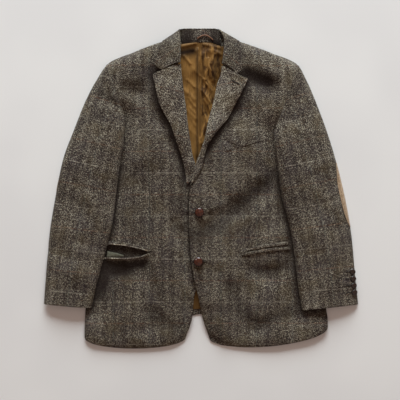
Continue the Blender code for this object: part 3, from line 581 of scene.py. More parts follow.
SLEEVE_FOLDS = (
    (-238, 212, -198, 204, 11, -3.0),  # creases at the right sleeve's head
    (-208, 196, -186, 198, 8, -2.0),
    (-240, 160, -300, 150, 20, 1.5),
    (-330, -20, -250, -70, 22, -2.0),
    (-340, -95, -270, -105, 18, 2.0),
    (-350, -150, -262, -182, 20, -2.0),
    (190, 214, 212, 222, 9, -3.0),  # creases at the left sleeve's head
    (205, 232, 228, 236, 8, -2.5),
    (186, 172, 226, 158, 12, -2.5),
    (232, 212, 226, 180, 9, -2.0),
    (330, 10, 250, -40, 22, -2.0),
    (350, -110, 262, -104, 20, 2.0),
    (350, -180, 262, -190, 20, -2.0),
)
LINING_FOLDS = (
    (-10, 330, -10, 80, 4.5, 2.6),  # centre pleat
    (6, 322, 14, 250, 6.0, 3.4),
    (24, 330, 30, 262, 7.0, 4.2),
    (8, 240, 26, 178, 6.0, 3.6),
    (20, 170, 2, 110, 6.0, 3.4),
    (-44, 322, -22, 332, 6.0, 1.0),  # puff below the collar stand
    (10, 330, 44, 326, 7.0, 1.5),
    (-40, 236, -16, 214, 5.0, 2.0),
    (-34, 190, -14, 168, 5.0, 1.8),
)
# centre x, centre y, half length x, half length y, rise
UNDER_RISES = (
    (-311, -22, 50, 98, 1.7),  # right elbow patch
    (-352, -226, 26, 52, 4.7),  # right cuff's buttons
    (324, -15, 52, 98, 1.7),  # left elbow patch, wrapped round the edge
)
# Fine creases that only the cloth shows, in the same columns
FINE_FOLDS = (
    (61, 112, 78, 98, 7, -2.2),  # dimple at the breast pocket's front end
    (170, 96, 132, 40, 9, -1.8),  # drag lines below the left armpit
    (176, 70, 146, 20, 8, 1.3),
    (60, -34, 8, -54, 8, 1.6),  # pulled to the upper button
    (74, -62, 12, -64, 7, -1.5),
    (58, -96, 6, -72, 8, 1.2),
    (-60, -40, -26, -56, 8, 1.2),
    (-70, -78, -30, -66, 8, -1.3),
    (40, -160, 4, -172, 8, 1.0),
    (46, -200, 4, -182, 7, -1.0),
    (-168, 44, -130, -8, 11, -1.6),
    (-186, 92, -150, 66, 9, 1.4),
    (-214, -100, -160, -112, 9, 1.2),
    (208, -108, 150, -118, 9, 1.2),
    (236, -190, 250, -250, 12, 1.6),
    (118, -230, 128, -300, 10, 1.3),
    (-150, -230, -146, -320, 11, 1.3),
    (-70, -230, -62, -330, 11, -1.3),
    (150, 292, 186, 262, 12, 1.6),  # the left shoulder's pad
    (-150, 300, -182, 262, 12, 1.6),
    (-118, 200, -120, 120, 12, 1.4),
    (132, 214, 120, 140, 12, 1.2),
)
# Deep, narrow troughs and ridges of the worn cloth: they hold the darkest shade
DEEP_FOLDS = (
    (-252, -188, -205, -190, 17, -5.5),  # below the gaping pocket
    (-205, -190, -138, -180, 14, -4.5),
    (-242, -163, -150, -162, 8, 1.8),
    (-114, 198, -74, 112, 12, -3.2),  # beside the right lapel
    (-74, 112, -34, 30, 11, -3.4),
    (-84, 206, -52, 120, 12, 1.0),
    (112, 240, 84, 186, 12, -3.0),  # beside the left lapel
    (84, 186, 24, 92, 14, -4.4),
    (112, 268, 168, 250, 17, -3.6),
    (190, 50, 134, -4, 24, -2.0),  # from the left armpit to the button
    (134, -4, 80, -48, 24, -2.0),
    (80, -48, 4, -106, 22, -1.2),
    (84, 104, 168, 92, 44, 4.6),  # the chest's fullness
    (-90, 92, -150, 84, 40, 2.6),
    (228, -174, 172, -203, 13, -3.6),  # below the left pocket
    (172, -203, 110, -196, 13, -2.6),
    (65, -236, 98, -298, 16, -3.4),  # the left skirt
    (98, -298, 134, -332, 16, -3.4),
    (134, -332, 222, -292, 16, -3.0),
    (-122, -296, -62, -334, 16, -3.0),  # the right skirt
    (-152, -346, -96, -322, 12, -2.2),
    (-186, 238, -118, 214, 17, -3.2),  # across the right shoulder blade's side
    (-170, 10, -118, -52, 30, -3.2),
    (-60, -88, -34, -180, 12, -2.0),
)
FINE_SLEEVE_FOLDS = (
    (-214, 236, -232, 222, 5, -1.6),
    (-196, 182, -218, 176, 5, -1.4),
    (-232, 188, -262, 196, 9, 1.4),
    (-228, 120, -262, 108, 10, 1.4),
    (-316, 60, -270, 40, 12, 1.3),
    (-322, 20, -262, -6, 9, -1.4),
    (-340, -60, -300, -74, 9, 1.2),
    (-300, -128, -248, -140, 9, -1.5),
    (-352, -190, -300, -206, 10, 1.2),
    (-320, -240, -272, -246, 10, -1.2),
    (196, 190, 214, 196, 5, -1.8),
    (224, 246, 206, 216, 5, -1.6),
    (216, 150, 250, 132, 9, 1.5),
    (238, 188, 268, 180, 9, 1.3),
    (222, 80, 262, 66, 10, -1.4),
    (296, 60, 252, 36, 11, 1.4),
    (318, -30, 262, -52, 9, -1.3),
    (330, -76, 286, -84, 9, 1.2),
    (300, -150, 250, -160, 9, -1.4),
    (352, -226, 300, -236, 10, 1.2),
)
# The gaping right hip pocket: x, upper lip y, lower lip y
POCKET_MOUTH = (
    (-236, -134.0, -166),
    (-222, -134.0, -166.5),
    (-187, -136.0, -167),
    (-160, -141.0, -165.5),
    (-142, -145.5, -163),
    (-128, -150.0, -156.5),
)

# %% [markdown]
# The heights below are the same formulas as the solids': a front's height is its
# loft, pressed down near the sleeve, with free edges let down along a quarter
# circle. The left front adds the lap over the right one.

# %% Sizes that the heights are made of
TWEED_WALL = 2.4  # walls: cloth with its interlining
BACK_WALL = 2.0
LINING_WALL = 1.0
LAPEL_WALL = 2.2
COLLAR_WALL = 2.4
SEAM_GAP = 0.3  # between two pieces at a seam
LAYER_GAP = 0.9  # between a panel and a panel that lies on it
LINING_AIR = 0.8  # between the lining and a front's free edge
SEAT_AIR = 0.6  # between the collar and the back that lies on it
LEAST_LOFT = 0.3  # no front lies flatter than this on what carries it
UNDER_SLEEVE_LOFT = 8.5  # height of the fronts where a sleeve lies on them
OVERLAP_LIFT = 4.8  # how far the left front lies above the right one
POCKET_DEPTH = 3.6  # how far the gaping pocket's mouth sinks in
BROAD_SHARE = 1.2  # the cloth's broad folds against the solids' own
CENTRE_BACK_X = -4.0
ROLL_CLEAR = 6.5  # a front's edge stays this far inside the roll line
UNDERARM_ROW = 5  # row of a front's table that ends at the underarm
GAP_APEX_Y = -236  # where the fronts part below the lower button
GAP_RIGHT = ((-14, -236), (-19, -275), (-22, -312), (-30, -345), (-48, -371))
GAP_LEFT = ((-12, -236), (1, -289), (6, -318), (14, -345), (29, -374))
BACK_HEM = ((-280, -358), (-4, -302), (305, -333))
COLLAR_SEAT = (84, 318, 30)  # half width, lowest y and soft edge of the collar's seat
HEM_ARC = (158, -358, 124, 27)  # a front's hem: centre x and y, half width, depth
# soft steps: where each starts, and how far on it ends
SIDE_STEP = (252, 26)  # |x| of the side seams
OFF_HEM_STEP = (12, 34)  # distance below the back's hem
BESIDE_SLEEVE_STEP = (0, 56)  # distance inside a sleeve's fold
ARMPIT_STEP = (-4, 60)  # distance above the armpit
BELOW_CUFF_STEP = (12, 34)  # distance below the cuff
CUFF_FREE_STEP = (6, 34)  # the same, for the side's own edge
OVERLAP_X_STEP = (44, 60)  # x of the left front's lap
OVERLAP_Y_STEP = (-300, 36)  # y of the left front's lap
LIP_STEP = (0, 3.0)  # distance inside the pocket's lips
MOUTH_FRONT_STEP = (122, 8)  # -x of the mouth's front end
MOUTH_BACK_STEP = (-246, 6)  # x of the mouth's back end
RISE_STEP = (1.0, 0.5)  # reach past what is sewn under a sleeve
ON_BODY_STEP = (15, 24)  # distance outside a front's side seam
# quarter circles down to a free edge: how far out each starts, and its radius
SHOULDER_TURN = (1.0, 26)
SIDE_TURN = (0.6, 28)
SIDE_SLOPE = (2, 30)  # a straight one, where the side seam holds the edge
HEM_TURN = (1.5, 30)
GAP_TURN = (1.0, 34)


def as_arrays(**tables):
    """A side's tables by name, each as an array."""
    return {name: np.asarray(table, float) for name, table in tables.items()}


SIDE = {
    "right": dict(sign=-1, check_start=157, underarm=(-262, 116), **as_arrays(
        front=FRONT_RIGHT, back=BACK_RIGHT, sleeve=SLEEVE_RIGHT, under_sleeve=UNDER_SLEEVE_RIGHT,
        lapel=LAPEL_RIGHT, collar=COLLAR_RIGHT,
        shoulder=((-226, 297), (-190, 314), (-149, 332), (-114, 347), (-72, 361)))),
    "left": dict(sign=1, check_start=165, underarm=(266, 124), **as_arrays(
        front=FRONT_LEFT, back=BACK_LEFT, sleeve=SLEEVE_LEFT, under_sleeve=UNDER_SLEEVE_LEFT,
        lapel=LAPEL_LEFT, collar=COLLAR_LEFT,
        shoulder=((68, 361), (106, 349), (153, 332), (192, 314), (234, 295)))),
}

# %% Heights of the layers
def turned(distance, turn):
    """Quarter circle that starts a little outside an edge."""
    start, radius = turn
    return rounded(distance + start, radius)


def back_rise(x, y, spread=0.0):
    """Lift of the back where the collar lies under it: soft across times soft down."""
    half_width, lowest, soft = COLLAR_SEAT
    across = smooth((half_width + spread + soft - np.abs(x - CENTRE_BACK_X)) / soft)
    down = smooth((y - lowest + spread + soft) / soft)
    return (COLLAR_WALL + SEAT_AIR) * across * down


def support(x, y):
    """What a front's free edge lies on: the back and its lining, or the floor."""
    hem = np.asarray(BACK_HEM, float)
    under_hem = np.interp(x, hem[:, 0], hem[:, 1]) - y
    on_back = BACK_WALL + LINING_WALL + LINING_AIR
    at_side = soft_step(np.abs(x), SIDE_STEP)
    seat = on_back + (BACK_WALL + SEAM_GAP - on_back) * at_side
    off_back = soft_step(under_hem, OFF_HEM_STEP) * (1 - at_side)
    return seat + (SEAM_GAP - seat) * off_back


def free_edges(shape, x, y):
    """Product of the turns down to a front's free edges: 1 well inside, 0 on them."""
    line = shape["shoulder"]
    shoulder = turned(np.interp(x, line[:, 0], line[:, 1]) - y, SHOULDER_TURN)
    side_inside = shape["sign"] * (line_x(shape["front"][UNDERARM_ROW:, 2:4], y) - x)
    cuff_free = soft_step(shape["sleeve"][-1, 3] - y, CUFF_FREE_STEP)
    start, width = SIDE_SLOPE
    sides = (1 - cuff_free) * np.clip((side_inside + start) / width, 0, 1)
    sides = sides + cuff_free * turned(side_inside, SIDE_TURN)
    hem_x, hem_y, half_width, depth = HEM_ARC
    hem_y = hem_y - depth * np.sqrt(np.clip(1 - ((np.abs(x) - hem_x) / half_width) ** 2, 0, 1))
    hem = turned(y - hem_y, HEM_TURN)
    gap = np.maximum(line_x(GAP_RIGHT, y) - x, x - line_x(GAP_LEFT, y))
    gap = np.hypot(np.maximum(gap, 0), np.maximum(y - GAP_APEX_Y, 0))
    return shoulder * sides * hem * turned(gap, GAP_TURN)


def body_loft(side, x, y, fine=False):
    """Height of a front's face: (loft and folds) x the turns down to its free edges."""
    shape = SIDE[side]
    loft = np.asarray(BODY_LOFT, float)
    full = flow(loft[:, 0], loft[:, 1], y)
    sleeve = shape["sleeve"]
    fold_inside = shape["sign"] * (line_x(sleeve[:, 2:4], y) - x)
    pressed = 1 - soft_step(fold_inside, BESIDE_SLEEVE_STEP)
    pressed = pressed * (1 - soft_step(y - sleeve[0, 3], ARMPIT_STEP))
    pressed = pressed * (1 - soft_step(sleeve[-1, 3] - y, BELOW_CUFF_STEP))
    folds = fold_field(BROAD_FOLDS, x, y)
    if fine:
        folds = BROAD_SHARE * folds + fold_field(FINE_FOLDS, x, y) + fold_field(DEEP_FOLDS, x, y)
    height = full + (UNDER_SLEEVE_LOFT - full) * pressed + folds * (1 - pressed)
    base = support(x, y) + TWEED_WALL
    return base + np.maximum(height - base, LEAST_LOFT) * free_edges(shape, x, y)


def pocket_mouth(x, y):
    """1 inside the gaping pocket's mouth, 0 outside: soft steps at its lips and ends."""
    lips = np.asarray(POCKET_MOUTH, float)
    upper = flow(lips[:, 0], lips[:, 1], x)
    lower = flow(lips[:, 0], lips[:, 2], x)
    inside = soft_step(upper - y, LIP_STEP) * soft_step(y - lower, LIP_STEP)
    return inside * soft_step(-x, MOUTH_FRONT_STEP) * soft_step(x, MOUTH_BACK_STEP)


def panel_face(side, x, y, fine=True):
    """A front's face as if its pocket were closed; the left one lies on the right one."""
    height = body_loft(side, x, y, fine)
    if side == "left":
        lap = (1 - soft_step(x, OVERLAP_X_STEP)) * soft_step(y, OVERLAP_Y_STEP)
        height = height + OVERLAP_LIFT * lap
    return height


def front_height(side, x, y):
    """A front's outer face with its fine folds and its gaping pocket."""
    sunk = POCKET_DEPTH * pocket_mouth(x, y) if side == "right" else 0.0
    return panel_face(side, x, y) - sunk


def under_rise(x, y):
    """How far a sleeve's lower layer is lifted by what is sewn under it."""
    total = np.zeros(np.broadcast(x, y).shape)
    for cx, cy, rx, ry, rise in UNDER_RISES:
        reach = np.maximum(np.abs(x - cx) / rx, np.abs(y - cy) / ry)
        total = np.maximum(total, rise * (1 - soft_step(reach, RISE_STEP)))
    return total


def under_sleeve_base(side, x, y):
    """Underside of a sleeve's lower layer: on the floor, or on the front."""
    shape = SIDE[side]
    edge = shape["front"][UNDERARM_ROW:, 2:4]
    outside = np.maximum(shape["sign"] * (x - line_x(edge, y)), 0)
    ux, uy = shape["underarm"]
    ax, ay = shape["sleeve"][0, 2:4]
    seam_y = uy + (ay - uy) * np.clip((x - ux) / (ax - ux), 0, 1)
    away = np.hypot(outside, np.maximum(y - seam_y, 0))
    on_body = 1 - soft_step(away, ON_BODY_STEP)
    return np.maximum(on_body * (body_loft(side, x, y) + LAYER_GAP), under_rise(x, y))

# %% [markdown]
# ## Finishes
# Tweed is read from far away as salt and pepper, and from close by as a twill of
# dark warp and pale weft yarns, each spun from many colours of wool. So its
# colour is mixed from a twill, from a random value for each crossing of yarns
# and from noise at the size of a neps, and a windowpane of pale, rust and
# blue-green yarns runs through it. All of it reads the thread map.

# %% A short way to write shader nodes
class Finish:
    """A material and the few kinds of node that these finishes are made of."""

    def __init__(self, name):
        self.material = bpy.data.materials.new(name)
        self.material.use_nodes = True
        self.tree = self.material.node_tree
        self.shader = self.tree.nodes["Principled BSDF"]

    def node(self, kind, output, settings=None, **sockets):
        """One node: settings by name, sockets by name or as i0, i1, and so on."""
        made = self.tree.nodes.new(kind)
        for key, value in (settings or {}).items():
            setattr(made, key, value)
        for key, value in sockets.items():
            numbered = key[0] == "i" and key[1:].isdigit()
            self.put(made.inputs[int(key[1:]) if numbered else key], value)
        return made.outputs[output]

    def put(self, socket, value):
        """Another node's output, or a plain value, into a socket."""
        if isinstance(value, bpy.types.NodeSocket):
            self.tree.links.new(value, socket)
        else:
            socket.default_value = value

    def math(self, operation, a, b=0.0):
        return self.node("ShaderNodeMath", 0, {"operation": operation}, i0=a, i1=b)

    def vector_math(self, operation, a, b):
        return self.node("ShaderNodeVectorMath", 0, {"operation": operation}, i0=a, i1=b)

    def share(self, value, share):
        """A value times a number."""
        return self.math("MULTIPLY", value, share)

    def sine(self, value, length):
        """Sine of a value that repeats every length."""
        return self.math("SINE", self.share(value, 2 * math.pi / length))

    def mark(self, name):
        """One of MARK_NAMES, as a number at each point."""
        return self.node("ShaderNodeAttribute", 2, {"attribute_name": name})

    def threads_mm(self):
        """The thread map in millimetres."""
        uv = self.node("ShaderNodeUVMap", 0, {"uv_map": "threads"})
        return self.node("ShaderNodeVectorMath", 0, {"operation": "SCALE"}, i0=uv, Scale=1000.0)

    def split(self, vector):
        """x and y of a vector."""
        parts = self.tree.nodes.new("ShaderNodeSeparateXYZ")
        self.put(parts.inputs[0], vector)
        return parts.outputs[0], parts.outputs[1]

    def noise(self, vector, scale, detail, roughness):
        """Blender's noise, between 0 and 1 and mostly near 0.5."""
        return self.node("ShaderNodeTexNoise", 0, Vector=vector, Scale=scale, Detail=detail,
                         Roughness=roughness)

    def step(self, value, low, high, to_low=0.0, to_high=1.0):
        """Soft step of a value from low to high."""
        made = self.tree.nodes.new("ShaderNodeMapRange")
        made.interpolation_type = "SMOOTHSTEP"
        for socket, number in zip(made.inputs[:5], (value, low, high, to_low, to_high)):
            self.put(socket, number)
        return made.outputs[0]

    def mix(self, share, a, b):
        """Colour a where the share is 0, colour b where it's 1."""
        made = self.tree.nodes.new("ShaderNodeMix")
        made.data_type = "RGBA"
        self.put(made.inputs[0], share)
        self.put(made.inputs[6], a)
        self.put(made.inputs[7], b)
        return made.outputs[2]

    def line(self, coordinate, period, offset, width):
        """1 on lines that repeat every period from an offset, 0 off them."""
        turns = self.math("DIVIDE", coordinate, period)
        turn = self.math("FRACT", self.math("ADD", turns, 0.5 - offset / period))
        away = self.share(self.math("ABSOLUTE", self.math("SUBTRACT", turn, 0.5)), period)
        return self.step(away, width / 2, width / 2 + 0.5, 1.0, 0.0)

    def finish(self, color, roughness, height=None, bump=0.0, depth=0.0004, **constants):
        """Colour, roughness and bump on the shader; depth is the bump's own, in metres."""
        self.put(self.shader.inputs["Base Color"], color)
        self.put(self.shader.inputs["Roughness"], roughness)
        for key, value in constants.items():
            self.shader.inputs[key.replace("_", " ")].default_value = value
        if height is not None:
            made = self.tree.nodes.new("ShaderNodeBump")
            made.inputs["Strength"].default_value = bump
            made.inputs["Distance"].default_value = depth
            self.put(made.inputs["Height"], height)
            self.put(self.shader.inputs["Normal"], made.outputs[0])
        return self.material


# %% Tweed
CHECK_DOWN = 103.0  # repeats of the windowpane, in mm
CHECK_ACROSS = 86.0
# axis, repeat, offset, width, strength, colour of each line of the windowpane
WINDOWPANE = (
    ("across", CHECK_ACROSS, 20.0, 1.9, 0.34, (0.075, 0.10, 0.092)),  # blue-green
    ("across", CHECK_ACROSS, 64.0, 1.5, 0.18, (0.22, 0.18, 0.14)),  # dusty pink
    ("down", CHECK_DOWN, CHECK_DOWN / 2, 2.6, 0.28, (0.19, 0.082, 0.037)),  # rust
    ("down", CHECK_DOWN, 0.0, 1.5, 0.50, (0.36, 0.33, 0.27)),  # pale
)
# value from 0 to 1, and the wool's colour there
WOOL = (
    (0.13, (0.0070, 0.0036, 0.0034)),
    (0.34, (0.025, 0.0160, 0.0135)),
    (0.54, (0.070, 0.0545, 0.0415)),
    (0.73, (0.198, 0.175, 0.134)),
    (1.0, (0.40, 0.37, 0.29)),
)
YARN = (1.9, 1.6)  # spacing of warp and weft as they read from afar, in mm
BONE = 23.0  # width of a herringbone's two stripes
TWILL = 5.2  # repeat of its diagonal
RIB = 1.7  # repeat of the fine ribs in relief
# how much each part adds to the value that the colour is read from
WISP_SHARE = 0.46
NEP_SHARE = 0.47
TWILL_SHARE = 0.085
STRIPE_SHARE = 0.20
WEAR_SHARE = 0.46
PAINTED_LIGHT_SHARE = 0.34
# noise low and high, strength and colour of the drifts and of the coloured neps
DRIFTS = ((0.50, 0.70, 0.34, (0.078, 0.056, 0.026)), (0.50, 0.30, 0.30, (0.050, 0.040, 0.044)))
NEPS = ((0.68, 0.74, 0.6, (0.17, 0.075, 0.030)), (0.31, 0.26, 0.6, (0.045, 0.062, 0.062)))
SEAM_OFFSET = 100.0  # a seam's line is where the mark "seam" has this value


def wool_value(made, mm, u, v):
    """From dark to pale: wisps + neps + herringbone + wear + painted light."""
    # wisps of wool a few millimetres long
    warped = made.vector_math("MULTIPLY", mm, (1.0, 0.75, 1.0))
    wisp = made.step(made.noise(warped, 0.42, 2.0, 0.6), 0.36, 0.64)
    # a random value for each crossing of yarns
    cell = made.vector_math("DIVIDE", mm, (*YARN, 1.0))
    cell = made.node("ShaderNodeVectorMath", 0, {"operation": "FLOOR"}, i0=cell)
    nep = made.node("ShaderNodeTexWhiteNoise", 0, {"noise_dimensions": "2D"}, Vector=cell)
    # herringbone: a diagonal of warp over weft that turns back at every stripe
    place = made.math("FRACT", made.math("DIVIDE", u, BONE))
    stripe = made.math("ABSOLUTE", made.math("SUBTRACT", place, 0.5))
    diagonal = made.sine(made.math("ADD", v, made.share(stripe, BONE)), TWILL)
    # wear and pile: broad patches a little lighter or darker
    wear = made.math("SUBTRACT", made.noise(mm, 0.013, 3.0, 0.55), 0.5)
    # painted light: where the mark is below zero, the colour is read from a paler value
    painted_light = made.math("MAXIMUM", made.share(made.mark("painted_light_and_shade"), -1.0), 0.0)
    value = made.share(wisp, WISP_SHARE)
    for part, share in ((nep, NEP_SHARE), (diagonal, TWILL_SHARE),
                        (made.math("SUBTRACT", stripe, 0.25), STRIPE_SHARE),
                        (wear, WEAR_SHARE), (painted_light, PAINTED_LIGHT_SHARE)):
        value = made.math("ADD", value, made.share(part, share))
    return value


def tweed(name, tone):
    """Salt-and-pepper tweed with a faint windowpane; a tone above 1 makes it paler."""
    made = Finish(name)
    mm = made.threads_mm()
    u, v = made.split(mm)

    def wool(color):
        return tuple(tone * part for part in color) + (1.0,)

    value = wool_value(made, mm, u, v)
    ramp = made.tree.nodes.new("ShaderNodeValToRGB")
    made.put(ramp.inputs[0], value)
    stops = [(position, wool(color)) for position, color in WOOL]
    ramp.color_ramp.elements[0].position, ramp.color_ramp.elements[0].color = stops[0]
    ramp.color_ramp.elements[1].position, ramp.color_ramp.elements[1].color = stops[-1]
    for position, color in stops[1:-1]:
        ramp.color_ramp.elements.new(position).color = color
    color = ramp.outputs[0]
    # broad drifts of warmer and cooler wool, and coloured neps
    drift = made.noise(mm, 0.021, 2.0, 0.5)
    nep = made.noise(mm, 0.31, 1.0, 0.5)
    for noise, table in ((drift, DRIFTS), (nep, NEPS)):
        for low, high, strength, shade in table:
            color = made.mix(made.step(noise, low, high, 0.0, strength), color, wool(shade))
    # the windowpane, broken where the yarn dives under
    broken = made.step(made.noise(mm, 0.22, 2.0, 0.6), 0.40, 0.62)
    for axis, repeat, offset, width, strength, shade in WINDOWPANE:
        line = made.line(u if axis == "across" else v, repeat, offset, width)
        shown = made.math("MULTIPLY", line, made.share(broken, strength))
        color = made.mix(shown, color, wool(shade))
    # darts and seams: a dark line where the distance to them passes through zero
    away = made.math("ABSOLUTE", made.math("ADD", made.mark("seam"), -SEAM_OFFSET))
    sewn = made.step(away, 0.5, 1.7, 1.0, 0.0)
    color = made.mix(made.share(sewn, 0.62), color, wool((0.018, 0.014, 0.011)))
    # painted shade: darker where the mark is above zero
    color = made.mix(made.mark("painted_light_and_shade"), color, (0.010, 0.0052, 0.0038, 1.0))
    ribs = made.sine(made.math("ADD", u, v), RIB)
    height = made.math("ADD", made.share(value, 1.3), made.share(ribs, 0.16))
    height = made.math("SUBTRACT", height, made.share(sewn, 0.8))
    return made.finish(color, 0.92, height, 0.55, 0.0006, Specular_IOR_Level=0.12,
                       Sheen_Weight=0.07, Sheen_Roughness=0.6, Sheen_Tint=(0.9, 0.82, 0.72, 1.0))


TWEED = tweed("brown_tweed", 1.02)
# paler copies of the tweed paint light: the stand's under its own painted shade, the lapels' where
# they catch more light, and the pocket lips' as a painted highlight along their rolled edges
TWEED_STAND_PAINTED = tweed("tweed_in_the_neck", 1.4)
TWEED_LAPEL_LIT = tweed("tweed_facing", 1.18)
TWEED_LIP_LIT = tweed("tweed_lip", 1.9)

# %% [markdown]
# Satin is smooth floats of one thread, so it shines in streaks across them, and
# its colour hardly varies. Suede is a short nap with no shine. The buttons are
# leather, plaited over a dome and waxed, so they carry a sharp highlight.

# %% Satin, suede, leather, pocketing and thread
def satin():
    """Ochre satin: streaks along the warp, a broad shine and a fine rib; the streaks and the shine
    are painted sheen, paler and darker in its colour.
    """
    made = Finish("ochre_satin")
    mm = made.threads_mm()
    streak = made.noise(made.vector_math("MULTIPLY", mm, (1.0, 0.06, 1.0)), 0.9, 2.0, 0.6)
    sheen_patch = made.noise(mm, 0.03, 3.0, 0.55)
    # painted sheen: paler along the warp's streaks, darker in broad patches
    color = made.mix(made.step(streak, 0.3, 0.7), (0.178, 0.089, 0.023, 1), (0.280, 0.144, 0.040, 1))
    color = made.mix(made.step(sheen_patch, 0.45, 0.75, 0.0, 0.45), color, (0.095, 0.044, 0.011, 1))
    # creases: long wisps along the drop, darker as painted shade and lower in the bump, only where
    # the mark says it is crumpled
    pulled = made.vector_math("MULTIPLY", mm, (1.0, 0.30, 1.0))
    crease = made.step(made.noise(pulled, 0.105, 4.0, 0.66), 0.45, 0.62)
    crease = made.math("MULTIPLY", crease, made.mark("crumple_and_shade"))
    color = made.mix(crease, color, (0.036, 0.014, 0.004, 1.0))
    # painted shade where the lining's mark is above zero
    color = made.mix(made.mark("painted_light_and_shade"), color, (0.014, 0.006, 0.0025, 1.0))
    height = made.math("SUBTRACT", made.share(streak, 0.25), crease)
    return made.finish(color, 0.60, height, 0.5, 0.0012, Specular_IOR_Level=0.10,
                       Anisotropic=0.3, Sheen_Weight=0.04)


def suede():
    """Tan suede: a nap brushed both ways, no shine."""
    made = Finish("tan_suede")
    mm = made.threads_mm()
    nap = made.noise(mm, 0.16, 4.0, 0.65)
    grain = made.noise(mm, 1.6, 2.0, 0.6)
    color = made.mix(made.step(nap, 0.35, 0.65), (0.255, 0.165, 0.095, 1), (0.385, 0.275, 0.175, 1))
    return made.finish(color, 0.95, grain, 0.5, 0.0003, Specular_IOR_Level=0.2,
                       Sheen_Weight=0.2, Sheen_Roughness=0.5)


def leather(name, low, high, coat):
    """Waxed leather: painted shade where its mark says, in its grooves and round its rim, with a
    fine grain.
    """
    made = Finish(name)
    place = made.node("ShaderNodeTexCoord", "Object")
    grain = made.noise(place, 900.0, 3.0, 0.6)
    color = made.mix(made.step(grain, 0.3, 0.7), (*low, 1), (*high, 1))
    color = made.mix(made.mark("painted_light_and_shade"), color, tuple(0.25 * part for part in low) + (1,))
    return made.finish(color, 0.26, grain, 0.25, 0.0002, Specular_IOR_Level=0.42,
                       Coat_Weight=coat, Coat_Roughness=0.15)


FINE_YARN = 0.7  # repeat of thin cloth's and thread's weave, in mm


def plain_weave(name, low, high, roughness=0.8):
    """Thin plain cloth or thread: a fine grid, in two tones."""
    made = Finish(name)
    mm = made.threads_mm()
    u, v = made.split(mm)
    weave = made.math("MULTIPLY", made.sine(u, FINE_YARN), made.sine(v, FINE_YARN))
    tone = made.noise(mm, 0.2, 3.0, 0.6)
    color = made.mix(made.step(tone, 0.3, 0.7), (*low, 1), (*high, 1))
    return made.finish(color, roughness, weave, 0.3, 0.0002, Specular_IOR_Level=0.3)


SATIN = satin()
SUEDE = suede()
BUTTON_LEATHER = leather("button_leather", (0.040, 0.0085, 0.0035), (0.075, 0.018, 0.007), 0.12)
CUFF_LEATHER = leather("cuff_button_leather", (0.015, 0.0075, 0.005), (0.032, 0.016, 0.011), 0.15)
POCKETING = plain_weave("pocket_cloth", (0.060, 0.058, 0.040), (0.125, 0.120, 0.086))
LOOP_CLOTH = plain_weave("loop_cloth", (0.10, 0.040, 0.018), (0.155, 0.066, 0.030), 0.6)
DARK_THREAD = plain_weave("dark_thread", (0.014, 0.010, 0.008), (0.026, 0.019, 0.015))
SUEDE_THREAD = plain_weave("suede_thread", (0.10, 0.060, 0.034), (0.15, 0.095, 0.055))
print("finishes:", TWEED.name, SATIN.name, SUEDE.name, BUTTON_LEATHER.name, POCKETING.name)

# %% [markdown]
# ## The body
# A front is one panel from the lapel's roll to the side seam and from the
# shoulder to the hem. Its points are set closer along its edges, because the
# cloth turns down there within two centimetres. A front could also be draped by
# simulation, but then its edges and its pocket would no longer lie where the
# solids' do, so the folds are placed by formula.

# %% Points across and down a panel
def drawn_in(columns, amount):
    """Shares of the way across, closer at the edges (+) or in the middle (-)."""
    t = np.linspace(0, 1, columns)
    return t - amount * np.sin(2 * np.pi * t) / (2 * np.pi)


DARTS = {"right": (-126, 45, -138), "left": (106, 20, -132)}  # x, top y, bottom y
DART_BOW = 3.0  # how far a dart's middle bows outwards
FAR_FROM_SEAM = 20  # the mark goes no further than this from the seam


def dart_mark(side, x, y):
    """Signed distance to the dart, kept away from the line past the dart's ends."""
    dart_x, top, bottom = DARTS[side]
    bow = DART_BOW * np.sin((y - bottom) / (top - bottom) * np.pi)
    distance = x - dart_x + bow * SIDE[side]["sign"]
    beyond = (y > top) | (y < bottom)
    near = np.clip(distance, -FAR_FROM_SEAM, FAR_FROM_SEAM)
    far = np.where(distance < 0, -FAR_FROM_SEAM, FAR_FROM_SEAM)
    return SEAM_OFFSET + np.where(beyond, far, near)


# %% The fronts
def front_points(side, rows, columns):
    """Outer face of a front: straight rows with a sag, and the height formula."""
    shape = SIDE[side]
    x0, y0, x1, y1, sag = columns_of(shape["front"], rows, straight_until=UNDERARM_ROW)
    roll = shape["lapel"][:, :2]
    beside_roll = (y0 > roll[-1, 1]) & (y0 < roll[0, 1])
    x0 = np.where(beside_roll, line_x(roll, y0) + shape["sign"] * ROLL_CLEAR, x0)
    share = drawn_in(columns, 0.55)
    x = grid(x0, x1, share)
    y = grid(y0, y1, share) + sagging(sag, share)
    return np.stack((x, y, front_height(side, x, y)), 2)


def near_line(points, x, y, reach):
    """1 on a line through points, falling off as a bell curve of the distance."""
    points = np.asarray(points, float)
    nearest = np.full(x.shape, 1e9)
    for (ax, ay), (bx, by) in zip(points[:-1, :2], points[1:, :2]):
        dx, dy = bx - ax, by - ay
        along = np.clip(((x - ax) * dx + (y - ay) * dy) / (dx * dx + dy * dy), 0, 1)
        nearest = np.minimum(nearest, np.hypot(x - ax - along * dx, y - ay - along * dy))
    return np.exp(-(nearest / reach) ** 2)


def strongest(shades, x, y):
    """The strongest of several shades: strength x bell curve, for each its own path."""
    dark = np.zeros_like(x)
    for strength, reach, path in shades:
        dark = np.maximum(dark, strength * near_line(path, x, y, reach))
    return dark
